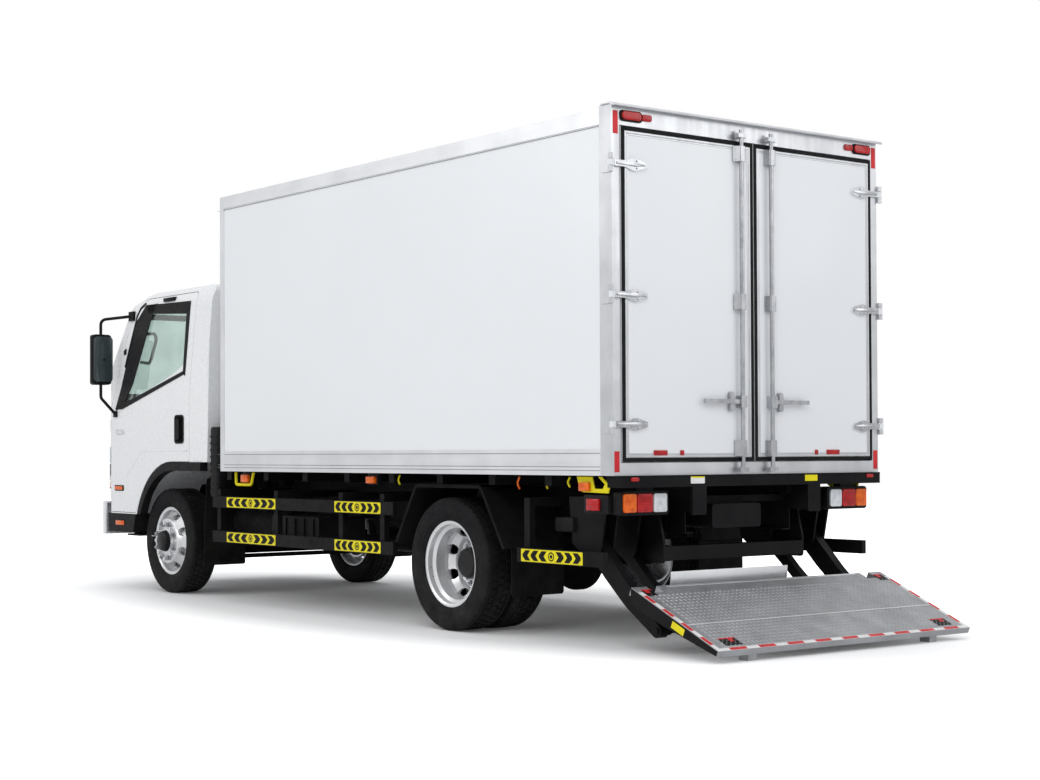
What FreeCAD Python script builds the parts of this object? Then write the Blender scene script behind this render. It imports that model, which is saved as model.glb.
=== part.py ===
import FreeCAD, Part
import math
import os

# Refrigerated truck with a lowered lift platform: sizes in mm, +X forward, +Y left, +Z up.
# The origin is on the ground under the middle of the whole truck.

V = FreeCAD.Vector
FORWARD = V(1, 0, 0)
LEFT = V(0, 1, 0)
UP = V(0, 0, 1)

# Running gear
wheelbase = 3815
tyre_radius = 405.5
tyre_width = 226
bead_radius = 250
front_tyre_y = 840
rear_tyre_y = 925
dual_spacing = 250
wheel_offset = 127
kingpin_y = 700
stud_circle_radius = 137.5
stud_count = 8
hub_radius = 98
spindle_radius = 38
axle_end_radius = 54

# Chassis
rail_outer_y = 425
rail_flange = 65
rail_bottom_z = 620
rail_top_z = 830
rail_plate = 7
frame_front_ahead = 985
frame_rear_behind = 1440
runner_height = 60
bearer_height = 60
bearer_count = 9
rear_bar_depth = 80

# Box
box_rear_behind = 1565
box_length = 4375
box_half_width = 1060
box_floor_z = 953
box_top_z = 2949
wall = 75
floor_depth = 130
rail_skin = 6
bottom_rail_height = 145
top_rail_height = 88
post_width = 105
post_face = 50
sill_height = 69
header_height = 99
door_gap = 6
door_proud = 6
door_depth = 70

# Cab
bumper_ahead = 1188
cab_half_width = 1020
cab_wall = 50
well_half_width = 930
well_forward = 46
cab_back_behind = 712
tilt_pivot_ahead = 1130
tilt_pivot_z = 655
tilt_pin_radius = 16
lug_clearance = 7
shut_gap = 5
glass_inset = 9
glass_thickness = 5
arch_centre_behind = 176
arch_centre_z = 392
arch_radius = 626
tunnel_half_width = 490
tunnel_z = 870

# Lift
arm_pivot_behind = 1200
arm_pivot_z = 550
arm_end_behind = 1700
arm_end_z = 120
arm_y = 855
arm_thickness = 60
link_y = 600
link_thickness = 50
link_offset_x = 110
link_offset_z = 15
platform_heel_behind = 1630
platform_heel_z = 355
platform_length = 720
platform_slope = 23.5
platform_inset = 60
platform_heel_depth = 45
platform_tip_depth = 34
platform_hinge_along = 100
arm_notch_length = 72
platform_hinge_below = 62

side_play = 8
arm_pin_radius = 34
link_pin_radius = 24
heel_pin_radius = 18
link_end_pin_radius = 14
platform_pin_radius = 9
door_pin_radius = 8
beam_low_z = 470
pin_play = 0.05
seat_gap = 0.3

slope_cos = math.cos(math.radians(platform_slope))
slope_sin = math.sin(math.radians(platform_slope))
tip_behind = platform_heel_behind + platform_length * slope_cos
rear_x = (tip_behind - wheelbase - bumper_ahead) / 2
front_x = rear_x + wheelbase
inner_tyre_y = rear_tyre_y - dual_spacing
box_rear_x = rear_x - box_rear_behind
box_front_x = box_rear_x + box_length
door_opening_half_width = box_half_width - post_face
door_opening_low_z = box_floor_z + sill_height
door_opening_high_z = box_top_z - header_height
door_middle_z = (door_opening_low_z + door_opening_high_z) / 2 - 6
platform_half_width = box_half_width - platform_inset
arch_top_z = arch_centre_z + arch_radius
door_outer_x = box_rear_x - door_proud
hinge_x = door_outer_x - 5
hinge_y = box_half_width + 25


def box(x0, x1, y0, y1, z0, z1):
    corner = V(min(x0, x1), min(y0, y1), min(z0, z1))
    return Part.makeBox(abs(x1 - x0), abs(y1 - y0), abs(z1 - z0), corner)


def rod(start, end, radius):
    return Part.makeCylinder(radius, (end - start).Length, start, end - start)


def cross_rod(x, z, y0, y1, radius):
    return rod(V(x, min(y0, y1), z), V(x, max(y0, y1), z), radius)


def mirrored(shape):
    return shape.mirror(V(0, 0, 0), LEFT)


def pair(shape):
    return [shape, mirrored(shape)]


def fused(shapes):
    return shapes[0].fuse(shapes[1:]).removeSplitter()


def rounded_face(corners, place):
    """A flat face whose corners are (u, v, radius), set in space by place(u, v)."""
    spans = []
    for index, (u, v, radius) in enumerate(corners):
        here = V(u, v, 0)
        before = V(*corners[index - 1][:2], 0) - here
        after = V(*corners[(index + 1) % len(corners)][:2], 0) - here
        if radius == 0:
            spans.append((here, None, here))
            continue
        half_angle = before.getAngle(after) / 2
        middle = before.normalize() + after.normalize()
        middle.normalize()
        setback = radius / math.tan(half_angle)
        reach = radius / math.sin(half_angle)
        spans.append((here + before * setback, here + middle * (reach - radius), here + after * setback))
    edges = []
    for index, (start, bulge, end) in enumerate(spans):
        if bulge is not None:
            edges.append(Part.Arc(place(start.x, start.y), place(bulge.x, bulge.y), place(end.x, end.y)).toShape())
        following = spans[(index + 1) % len(spans)][0]
        if (following - end).Length > 0.01:
            edges.append(Part.LineSegment(place(end.x, end.y), place(following.x, following.y)).toShape())
    return Part.Face(Part.Wire(edges))


def plate_xz(corners, y0, y1):
    face = rounded_face(corners, lambda u, v: V(u, y0, v))
    return face.extrude(V(0, y1 - y0, 0))


def plate_yz(corners, x0, x1):
    face = rounded_face(corners, lambda u, v: V(x0, u, v))
    return face.extrude(V(x1 - x0, 0, 0))


def plate_xy(corners, z0, z1):
    face = rounded_face(corners, lambda u, v: V(u, v, z0))
    return face.extrude(V(0, 0, z1 - z0))


def sharp(points):
    return [(u, v, 0) for u, v in points]


def revolved(corners, x, y, z, side):
    """A ring about the axle at (x, y, z), from corners (outward, radius, fillet)."""
    face = rounded_face(corners, lambda u, v: V(x, y + side * u, z + v))
    return face.revolve(V(x, y, z), LEFT, 360)


def bent_tube(points, radius, bend):
    """A round bar through points with bends of one radius."""
    edges = []
    start = points[0]
    for index in range(1, len(points) - 1):
        here = points[index]
        before = (points[index - 1] - here).normalize()
        after = (points[index + 1] - here).normalize()
        half_angle = before.getAngle(after) / 2
        setback = bend / math.tan(half_angle)
        middle = (before + after).normalize()
        bulge = here + middle * (bend / math.sin(half_angle) - bend)
        arc_start = here + before * setback
        arc_end = here + after * setback
        edges.append(Part.LineSegment(start, arc_start).toShape())
        edges.append(Part.Arc(arc_start, bulge, arc_end).toShape())
        start = arc_end
    edges.append(Part.LineSegment(start, points[-1]).toShape())
    path = Part.Wire(edges)
    section = Part.Wire(Part.makeCircle(radius, points[0], points[1] - points[0]))
    return path.makePipeShell([section], True, False)


def save(name, shapes):
    solids = []
    for shape in shapes:
        solids.extend(shape.Solids)
    shape = solids[0] if len(solids) == 1 else Part.makeCompound(solids)
    shape.exportStep("parts/" + name + ".step")


# Tyres and wheels

rim_half_width = 90
rim_plate = 8


def tyre(x, y):
    half = tyre_width / 2
    seat = rim_half_width - 9.4
    lip = rim_half_width - 7.4
    corners = [
        (-seat, bead_radius - 0.7, 0),
        (-lip, bead_radius + 12.4, 0),
        (-half + 16, bead_radius + 14, 0),
        (-half, bead_radius + 75, 40),
        (-half + 8, tyre_radius, 24),
        (half - 8, tyre_radius, 24),
        (half, bead_radius + 75, 40),
        (half - 16, bead_radius + 14, 0),
        (lip, bead_radius + 12.4, 0),
        (seat, bead_radius - 0.7, 0),
    ]
    return revolved(corners, x, y, tyre_radius, 1)


def rim(x, y, side):
    seat = bead_radius - 1
    flange = seat + 13
    drop = seat - 22
    half = rim_half_width
    corners = sharp([
        (-half, flange), (-half + 7, flange), (-half + 9, seat), (-48, seat - 3), (-34, drop),
        (26, drop), (40, seat - 3), (half - 9, seat), (half - 7, flange), (half, flange),
        (half, flange - 8), (half - 6, seat - rim_plate), (44, seat - 3 - rim_plate),
        (30, drop - rim_plate), (-38, drop - rim_plate), (-52, seat - 3 - rim_plate),
        (-half + 6, seat - rim_plate), (-half, flange - 8),
    ])
    return revolved(corners, x, y, tyre_radius, side)


def wheel_disc(x, y, side):
    """The pressed disc from the rim's well to the hub flange, which is wheel_offset outboard."""
    face = wheel_offset
    well = bead_radius - 24
    corners = [
        (26, well, 0), (30, well, 0), (62, well - 4, 14), (96, 190, 20), (face, 172, 12), (face, hub_radius, 0),
        (face - 11, hub_radius, 0), (face - 11, 166, 12), (86, 182, 20), (50, well - 14, 12), (20, well - 4, 0),
    ]
    disc = revolved(corners, x, y, tyre_radius, side)
    hand_holes = []
    for index in range(stud_count):
        angle = 360 / stud_count * (index + 0.5)
        slot = box(-17, 17, 20, 140, -19, 19)
        slot = fused([
            Part.makeCylinder(21, 120, V(-13, 20, 0), LEFT),
            Part.makeCylinder(21, 120, V(13, 20, 0), LEFT),
            box(-13, 13, 20, 140, -21, 21),
        ])
        slot.translate(V(0, 0, 200))
        slot.rotate(V(0, 0, 0), LEFT, angle)
        if side < 0:
            slot = mirrored(slot)
        slot.translate(V(x, y, tyre_radius))
        hand_holes.append(slot)
    return disc.cut(hand_holes)


def stud_ring(x, face_y, side, length):
    studs = []
    for index in range(stud_count):
        angle = 2 * math.pi / stud_count * index
        px = x + stud_circle_radius * math.cos(angle)
        pz = tyre_radius + stud_circle_radius * math.sin(angle)
        start = V(px, face_y - side * 6, pz)
        studs.append(rod(start, start + V(0, side * (length + 6), 0), 15))
    return studs


def front_wheel(side):
    x, y = front_x, side * front_tyre_y
    face_y = y + side * wheel_offset
    bore = spindle_radius + pin_play
    hub = revolved([
        (wheel_offset - 10, 0.0, 0), (wheel_offset - 10, bore, 0), (wheel_offset - 70, bore, 0),
        (wheel_offset - 70, hub_radius + 60, 0), (wheel_offset - 11.5, hub_radius + 60, 0),
        (wheel_offset - 11.5, hub_radius + 4, 0), (wheel_offset + 8, hub_radius + 4, 0), (wheel_offset + 12, 78, 0),
        (wheel_offset + 48, 70, 10), (wheel_offset + 52, 0.0, 0),
    ], x, y, tyre_radius, side)
    drum = revolved([
        (-62, 192, 0), (56, 192, 8), (58, 120, 0), (58, 60, 0), (44, 60, 0), (44, 178, 0), (-62, 178, 0),
    ], x, y, tyre_radius, side)
    return fused([rim(x, y, side), wheel_disc(x, y, side), hub, drum] + stud_ring(x, face_y, side, 26))


def rear_wheels(side):
    x = rear_x
    outer_y = side * rear_tyre_y
    inner_y = side * inner_tyre_y
    outer_face_y = outer_y - side * wheel_offset
    pieces = [rim(x, outer_y, -side), wheel_disc(x, outer_y, -side)]
    pieces += [rim(x, inner_y, side), wheel_disc(x, inner_y, side)]
    bore = axle_end_radius + pin_play
    flange = revolved([
        (-26, bore, 0), (-26, 165, 0), (12, 165, 0), (12, hub_radius + 3, 0), (90, 88, 0), (100, 76, 0), (100, 0.0, 0),
        (40, 0.0, 0), (40, bore, 0),
    ], x, outer_face_y, tyre_radius, side)
    drum = revolved([
        (-150, 192, 0), (-22, 192, 8), (-20, 150, 0), (-34, 150, 0), (-34, 178, 0), (-150, 178, 0),
    ], x, outer_face_y, tyre_radius, side)
    pieces += [flange, drum] + stud_ring(x, outer_face_y + side * 11, side, 26)
    return fused(pieces)


# Chassis

def channel_rail(side):
    y1 = rail_outer_y
    x0 = rear_x - frame_rear_behind
    x1 = front_x + frame_front_ahead
    body = box(x0, x1, y1 - rail_flange, y1, rail_bottom_z, rail_top_z)
    hollow = box(x0 - 1, x1 + 1, y1 - rail_flange - 1, y1 - rail_plate, rail_bottom_z + rail_plate,
                 rail_top_z - rail_plate)
    return body.cut(hollow) if side > 0 else mirrored(body.cut(hollow))


def ladder_frame():
    pieces = [channel_rail(1), channel_rail(-1)]
    inner = rail_outer_y - rail_plate
    for x in (front_x + 900, front_x - 1430, front_x - 2100, rear_x + 520, rear_x, rear_x - 620, rear_x - 1050):
        member = box(x - 35, x + 35, -inner - 1, inner + 1, rail_top_z - 120, rail_top_z - 20)
        hollow = box(x - 28, x + 36, -inner + 60, inner - 60, rail_top_z - 113, rail_top_z - 27)
        pieces.append(member.cut(hollow))
    end_x = rear_x - frame_rear_behind + 60
    pieces.append(box(end_x - 35, end_x + 35, -inner - 1, inner + 1, rail_top_z - 40, rail_top_z - 2))
    # Cab supports: the rear arch that the cab rests on and the front pivot brackets
    support_x = front_x - cab_back_behind + 60
    arch = plate_yz(sharp([
        (-rail_outer_y - 45, rail_bottom_z + 60), (-rail_outer_y - 45, arch_top_z - 2), (rail_outer_y + 45, arch_top_z - 2),
        (rail_outer_y + 45, rail_bottom_z + 60), (rail_outer_y - 2, rail_bottom_z + 60),
        (rail_outer_y - 2, arch_top_z - 38), (-rail_outer_y + 2, arch_top_z - 38), (-rail_outer_y + 2, rail_bottom_z + 60),
    ]), support_x - 30, support_x + 30)
    pieces.append(arch)
    for side in (1, -1):
        bracket = plate_xz([
            (front_x + 900, rail_bottom_z, 0), (front_x + tilt_pivot_ahead - 60, tilt_pivot_z - 45, 0),
            (front_x + tilt_pivot_ahead + 26, tilt_pivot_z - 34, 24), (front_x + tilt_pivot_ahead + 26, tilt_pivot_z + 25, 24),
            (front_x + tilt_pivot_ahead - 60, tilt_pivot_z + 25, 0), (front_x + 900, rail_bottom_z + 120, 0),
        ], rail_outer_y - 30, rail_outer_y)
        bore = cross_rod(front_x + tilt_pivot_ahead, tilt_pivot_z, 300, 520, tilt_pin_radius + pin_play)
        bracket = bracket.cut(bore)
        pieces.append(bracket if side > 0 else mirrored(bracket))
    return fused(pieces)


def front_axle():
    z = tyre_radius
    beam_y = kingpin_y - 42
    corners = [
        (-beam_y, z + 42, 0), (-590, z + 42, 40), (-500, z - 38, 40), (500, z - 38, 40), (590, z + 42, 40), (beam_y, z + 42, 0),
        (beam_y, z - 48, 0), (560, z - 48, 40), (470, z - 118, 40), (-470, z - 118, 40), (-560, z - 48, 40), (-beam_y, z - 48, 0),
    ]
    beam = plate_yz(corners, front_x - 42, front_x + 42)
    pieces = [beam]
    for side in (1, -1):
        y = side * kingpin_y
        boss = rod(V(front_x, y, z - 58), V(front_x, y, z + 50), 38)
        joint = box(front_x - 34, front_x + 34, y - side * 60, y, z - 48, z + 42)
        pin_bore = rod(V(front_x, y, z - 80), V(front_x, y, z + 80), 19 + pin_play)
        pieces.append(boss.fuse(joint).cut(pin_bore))
    axle = fused(pieces)
    bores = [rod(V(front_x, s * kingpin_y, z - 80), V(front_x, s * kingpin_y, z + 80), 19 + pin_play) for s in (1, -1)]
    return axle.cut(bores)


def knuckle(side):
    z = tyre_radius
    x = front_x
    fork = plate_yz([
        (kingpin_y - 40, z + 62, 8), (kingpin_y + 44, z + 62, 0), (kingpin_y + 52, z + 54, 0), (kingpin_y + 52, z - 62, 0),
        (kingpin_y + 44, z - 70, 0), (kingpin_y - 40, z - 70, 8), (kingpin_y - 40, z - 100, 8), (kingpin_y + 40, z - 100, 20),
        (kingpin_y + 74, z - 60, 0), (kingpin_y + 74, z + 60, 0), (kingpin_y + 40, z + 92, 20), (kingpin_y - 40, z + 92, 8),
    ], x - 40, x + 40)
    kingpin = rod(V(x, kingpin_y, z - 108), V(x, kingpin_y, z + 98), 19)
    spindle_end = front_tyre_y + wheel_offset - 14
    spindle = rod(V(x, kingpin_y + 60, z), V(x, spindle_end, z), spindle_radius)
    arm = plate_xy([
        (x - 20, kingpin_y - 34, 0), (x - 20, kingpin_y + 20, 0), (tie_ball_x - 22, tie_ball_y + 22, 20),
        (tie_ball_x - 22, tie_ball_y - 22, 20),
    ], z - 100, z - 76)
    ball_bore = rod(V(tie_ball_x, tie_ball_y, z - 120), V(tie_ball_x, tie_ball_y, z - 60), 12 + pin_play)
    shape = fused([fork, kingpin, spindle, arm]).cut(ball_bore)
    return shape if side > 0 else mirrored(shape)


tie_ball_x = front_x - 178
tie_ball_y = kingpin_y


def tie_rod():
    z = tyre_radius - 130
    bar = rod(V(tie_ball_x, -tie_ball_y, z), V(tie_ball_x, tie_ball_y, z), 17)
    ends = []
    for side in (1, -1):
        y = side * tie_ball_y
        ends.append(rod(V(tie_ball_x, y, z - 24), V(tie_ball_x, y, z + 24), 21))
        stud_radius = 12 if side > 0 else 9
        ends.append(rod(V(tie_ball_x, y, z), V(tie_ball_x, y, z + 52), stud_radius))
    return fused([bar] + ends)


def rear_axle():
    z = tyre_radius
    tube = cross_rod(rear_x, z, -690, 690, 62)
    case = revolved([
        (-200, 62, 0), (-120, 120, 60), (-40, 205, 70), (60, 205, 70), (140, 120, 60), (210, 62, 0), (210, 0.0, 0), (-200, 0.0, 0),
    ], rear_x, 0, z, 1)
    nose = Part.makeCone(110, 60, 240, V(rear_x + 110, 0, z), FORWARD)
    pads = []
    for side in (1, -1):
        y = side * (rail_outer_y - 32)
        pads.append(box(rear_x - 70, rear_x + 70, y - 40, y + 40, z + 20, z + 84))
    spindle_end = rear_tyre_y - wheel_offset + 36
    spindles = [cross_rod(rear_x, z, side * 680, side * spindle_end, axle_end_radius) for side in (1, -1)]
    return fused([tube, case, nose] + pads + spindles)


def leaf_spring(x, seat_z, half_length, eye_rise, leaf_count, leaf_depth, y, width):
    """A stack of curved leaves on a seat; the longest, on top, carries the two eyes."""
    leaves = []
    for index in range(leaf_count):
        half = half_length * (1 - 0.16 * (leaf_count - 1 - index))
        low = seat_z + index * leaf_depth
        rise = eye_rise * (half / half_length) ** 2
        top_line = Part.Arc(V(x - half, y, low + rise + leaf_depth), V(x, y, low + leaf_depth),
                            V(x + half, y, low + rise + leaf_depth))
        low_line = Part.Arc(V(x + half, y, low + rise), V(x, y, low), V(x - half, y, low + rise))
        ends = [
            Part.LineSegment(V(x + half, y, low + rise + leaf_depth), V(x + half, y, low + rise)),
            Part.LineSegment(V(x - half, y, low + rise), V(x - half, y, low + rise + leaf_depth)),
        ]
        wire = Part.Wire([top_line.toShape(), ends[0].toShape(), low_line.toShape(), ends[1].toShape()])
        leaves.append(Part.Face(wire).extrude(V(0, width, 0)))
    eye_z = seat_z + leaf_count * leaf_depth + eye_rise - 4
    for end in (-1, 1):
        leaves.append(cross_rod(x + end * (half_length + 8), eye_z, y, y + width, 24))
    clamp = box(x - 62, x + 62, y - 8, y + width + 8, seat_z + leaf_depth, seat_z + (leaf_count + 0.6) * leaf_depth)
    leaves.append(clamp)
    return fused(leaves)


def spring_hangers(x, eye_z, half_length, y, width):
    hangers = []
    for end in (-1, 1):
        hx = x + end * (half_length + 8)
        hangers.append(plate_xz([
            (hx - 50, rail_bottom_z + 120, 20), (hx - 30, eye_z - 30, 20), (hx + 30, eye_z - 30, 20),
            (hx + 50, rail_bottom_z + 120, 20),
        ], rail_outer_y, rail_outer_y + 12))
    return hangers


front_spring_half = 560
rear_spring_half = 600
spring_width = 62
spring_y = rail_outer_y - spring_width - 2
front_seat_z = tyre_radius - 37.7
rear_seat_z = tyre_radius + 84
front_eye_rise = 90
rear_eye_rise = 14


def springs():
    front = leaf_spring(front_x, front_seat_z, front_spring_half, front_eye_rise, 4, 14, spring_y, spring_width)
    rear = leaf_spring(rear_x, rear_seat_z, rear_spring_half, rear_eye_rise, 5, 14, spring_y, spring_width)
    solids = []
    for spring, x, seat, half, rise, count in (
            (front, front_x, front_seat_z, front_spring_half, front_eye_rise, 4),
            (rear, rear_x, rear_seat_z, rear_spring_half, rear_eye_rise, 5)):
        eye_z = seat + count * 14 + rise - 4
        hangers = spring_hangers(x, eye_z, half, spring_y, spring_width)
        pins = [cross_rod(x + end * (half + 8), eye_z, spring_y + spring_width - 1, rail_outer_y + 14, 12)
                for end in (-1, 1)]
        solids.append(fused([spring] + hangers + pins))
    return solids + [mirrored(solid) for solid in solids]


def engine_block():
    block = box(front_x - 720, front_x + 60, -300, 300, 560, 960)
    sump = box(front_x - 700, front_x - 120, -200, 200, 470, 560)
    gearbox = Part.makeCone(150, 100, 620, V(front_x - 720, 0, 690), V(-1, 0, 0))
    return fused([block, sump, gearbox])


def propeller_shaft():
    start = V(front_x - 1340.3, 0, 650)
    end = V(rear_x + 350.3, 0, tyre_radius)
    shaft = rod(start - FORWARD * 20, end + FORWARD * 20, 45)
    flanges = [rod(start, start - FORWARD * 34, 58), rod(end, end + FORWARD * 34, 56)]
    return fused([shaft] + flanges)


def silencer():
    can = rod(V(front_x - 2200, -640, 640), V(front_x - 1450, -640, 640), 105)
    pipe = bent_tube([V(front_x - 1460, -640, 640), V(front_x - 1250, -640, 640), V(front_x - 1100, -500, 584),
                      V(front_x - 700, -500, 584), V(front_x - 700, -300.3, 584)], 28, 70)
    outlet = bent_tube([V(front_x - 2190, -640, 640), V(front_x - 2300, -640, 640), V(front_x - 2380, -860, 560)], 32, 70)
    straps = [box(front_x - 2040, front_x - 2000, -600, -rail_outer_y, 700, 730),
              box(front_x - 1640, front_x - 1600, -600, -rail_outer_y, 700, 730)]
    return fused([can, pipe, outlet] + straps)


def battery_box():
    x0 = front_x - 2125
    case = box(x0, x0 + 630, 520, 900, 450, 640)
    case = case.makeFillet(18, [edge for edge in case.Edges if abs(edge.tangentAt(0).y) > 0.9])
    ribs = [box(x0 + 60 + 122 * index, x0 + 82 + 122 * index, 899, 910, 465, 625) for index in range(5)]
    bracket = box(x0 + 30, x0 + 600, rail_outer_y, 530, 630, 660)
    return fused([case] + ribs + [bracket])


def fuel_tank():
    length = 760
    x0 = rear_x + 540
    tank = plate_xz([(x0, 400, 60), (x0 + length, 400, 60), (x0 + length, 760, 60), (x0, 760, 60)], 500, 900)
    straps = []
    for offset in (140, 560):
        strap = box(x0 + offset, x0 + offset + 50, 494, 906, 394, 766)
        straps.append(strap.cut(box(x0 + offset - 1, x0 + offset + 51, 501, 899, 401, 759)))
        straps.append(box(x0 + offset, x0 + offset + 50, rail_outer_y, 500, 640, 766))
    cap = rod(V(x0 + 90, 900, 690), V(x0 + 90, 930, 690), 42)
    return fused([tank, cap] + straps)


def bumper():
    """A painted shell, curved round the corners and open behind."""
    ahead = front_x + bumper_ahead
    outer = [
        (ahead - 210, -cab_half_width, 0), (ahead - 150, -cab_half_width, 60), (ahead - 26, -900, 120), (ahead, -500, 700),
        (ahead, 500, 700), (ahead - 26, 900, 120), (ahead - 150, cab_half_width, 60), (ahead - 210, cab_half_width, 0),
    ]
    side_view = [
        (ahead - 210, 430, 0), (ahead - 30, 420, 30), (ahead, 470, 30), (ahead, 670, 30), (ahead - 26, 695, 20), (ahead - 210, 695, 0),
    ]
    solid = plate_xy(outer, 420, 695).common(plate_xz(side_view, -cab_half_width, cab_half_width))
    inner = [
        (ahead - 211, -cab_half_width + 14, 0), (ahead - 160, -cab_half_width + 14, 50), (ahead - 44, -890, 110),
        (ahead - 18, -500, 680), (ahead - 18, 500, 680), (ahead - 44, 890, 110), (ahead - 160, cab_half_width - 14, 50),
        (ahead - 211, cab_half_width - 14, 0),
    ]
    inner_side = [
        (ahead - 211, 444, 0), (ahead - 42, 434, 20), (ahead - 14, 476, 20), (ahead - 14, 664, 20), (ahead - 34, 683, 10), (ahead - 211, 683, 0),
    ]
    hollow = plate_xy(inner, 400, 720).common(plate_xz(inner_side, -cab_half_width, cab_half_width))
    shell = solid.cut(hollow)
    rear_slot = box(ahead - 215, ahead - 120, -cab_half_width + 60, cab_half_width - 60, 400, 720)
    shell = shell.cut(rear_slot)
    air_slot = plate_yz([(-300, 500, 30), (300, 500, 30), (280, 600, 30), (-280, 600, 30)], ahead - 60, ahead + 10)
    lug_y = rail_outer_y + lug_clearance
    lug_slots = pair(box(ahead - 130, ahead - 23, lug_y - 8, lug_y + 18, 660, 720))
    shell = shell.cut([air_slot] + lug_slots)
    brackets = [box(front_x + frame_front_ahead, ahead - 12, side * (rail_outer_y - 60) - 30, side * (rail_outer_y - 60) + 30, 480, 580)
                for side in (1, -1)]
    drop = [box(front_x + frame_front_ahead - 40, front_x + frame_front_ahead, side * (rail_outer_y - 60) - 30,
                side * (rail_outer_y - 60) + 30, 440, rail_bottom_z) for side in (1, -1)]
    return fused([shell] + brackets + drop)


# Side guards and mudguards

guard_y = box_half_width
guard_depth = 35
guard_low_z = 436
guard_high_z = 688
guard_bar = 82
guard_top_z = rail_top_z + 44


def side_guard(side):
    x0 = rear_x + 550
    x1 = rear_x + 2905
    rails = [box(x0, x1, guard_y - guard_depth, guard_y, z, z + guard_bar) for z in (guard_low_z, guard_high_z)]
    posts = []
    for x in (x0 + 150, x0 + 640, x0 + 1480, x1 - 60):
        posts.append(box(x, x + 50, guard_y - guard_depth - 40, guard_y - guard_depth, guard_low_z, rail_top_z - 10))
        posts.append(box(x, x + 50, rail_outer_y, guard_y - guard_depth, rail_top_z - 60, rail_top_z - 10))
    rear_x1 = rear_x - 715
    rear_x0 = rear_x - 1469
    tail = box(rear_x0, rear_x1, guard_y - guard_depth, guard_y, guard_low_z + 18, guard_low_z + 18 + guard_bar)
    tail_post = box(rear_x1 - 75, rear_x1 - 25, guard_y - guard_depth - 40, guard_y - guard_depth, guard_low_z + 18, rail_top_z - 10)
    tail_hanger = box(rear_x1 - 75, rear_x1 - 25, rail_outer_y, guard_y - guard_depth, rail_top_z - 60, rail_top_z - 10)
    solids = [fused(rails + posts), fused([tail, tail_post, tail_hanger])]
    return solids if side > 0 else [mirrored(solid) for solid in solids]


def guard_section(offset, y0, y1):
    """Three-sided guard section over the rear tyres, grown by an offset and cut off below its ends."""
    foot_z = tyre_radius - 5
    face = rounded_face([
        (rear_x + tyre_radius + 194, foot_z, 0), (rear_x + tyre_radius - 94, guard_top_z, 40),
        (rear_x - tyre_radius + 56, guard_top_z, 40), (rear_x - tyre_radius - 238, foot_z, 0),
    ], lambda u, v: V(u, y0, v))
    if offset:
        face = face.makeOffset2D(offset)
    solid = face.extrude(V(0, y1 - y0, 0))
    return solid.common(box(rear_x - 1000, rear_x + 1000, y0 - 1, y1 + 1, tyre_radius + 114, 2000))


def mudguard(side):
    """Angular guard over the twin tyres with a rolled outer edge and hanger, and the flap behind."""
    y0 = inner_tyre_y - tyre_width / 2 - 6
    y1 = rear_tyre_y + tyre_width / 2 + 12
    sheet = guard_section(0, y0, y1).cut(guard_section(-6, y0 - 1, y1 + 1))
    edge = guard_section(14, y1 - 9, y1).cut(guard_section(-1, y1 - 10, y1 + 1))
    stay = box(rear_x - 25, rear_x + 25, rail_outer_y, rear_tyre_y, guard_top_z, guard_top_z + 10)
    stay_foot = box(rear_x - 25, rear_x + 25, rail_outer_y, rail_outer_y + 12, rail_top_z - 60, guard_top_z + 10)
    flap_x = rear_x - 520
    flap = plate_yz([(y0, 235, 20), (950, 235, 20), (950, 598, 0), (y0, 598, 0)], flap_x - 6, flap_x)
    guard = fused([sheet, edge, stay, stay_foot, flap])
    return [guard if side > 0 else mirrored(guard)]


def front_flap(side):
    x = front_x - 575
    lug_y = rail_outer_y + 12
    flap = plate_yz([(600, 240, 20), (950, 240, 20), (950, 500, 0), (930, 900, 30), (520, 900, 0), (lug_y, 700, 0),
                     (lug_y, 640, 0), (600, 500, 0)], x - 6, x)
    return flap if side > 0 else mirrored(flap)


# Box

inner_front_x = box_front_x - wall
inner_rear_x = box_rear_x + post_width


def body_subframe():
    y1 = rail_outer_y
    x0 = box_rear_x + rear_bar_depth
    x1 = box_front_x - 20
    runners = [box(x0, x1, side * (y1 - rail_flange), side * y1, rail_top_z, rail_top_z + runner_height) for side in (1, -1)]
    bearers = []
    low = rail_top_z + runner_height
    pitch = (x1 - x0 - 60) / (bearer_count - 1)
    for index in range(bearer_count):
        x = x0 + pitch * index
        bearers.append(box(x, x + 60, -box_half_width + 60, box_half_width - 60, low, box_floor_z))
    return fused(runners + bearers)


def box_floor():
    half = box_half_width - wall
    return box(inner_rear_x, inner_front_x, -half, half, box_floor_z, box_floor_z + floor_depth)


def box_side(side):
    panel = box(inner_rear_x, box_front_x - 60, box_half_width - wall, box_half_width, box_floor_z + rail_skin,
                box_top_z - rail_skin)
    return panel if side > 0 else mirrored(panel)


def box_front_wall():
    half = box_half_width - wall
    return box(inner_front_x, box_front_x, -half, half, box_floor_z, box_top_z - rail_skin)


def box_roof():
    half = box_half_width - wall
    return box(inner_rear_x, inner_front_x, -half, half, box_top_z - rail_skin - wall, box_top_z - rail_skin)


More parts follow.
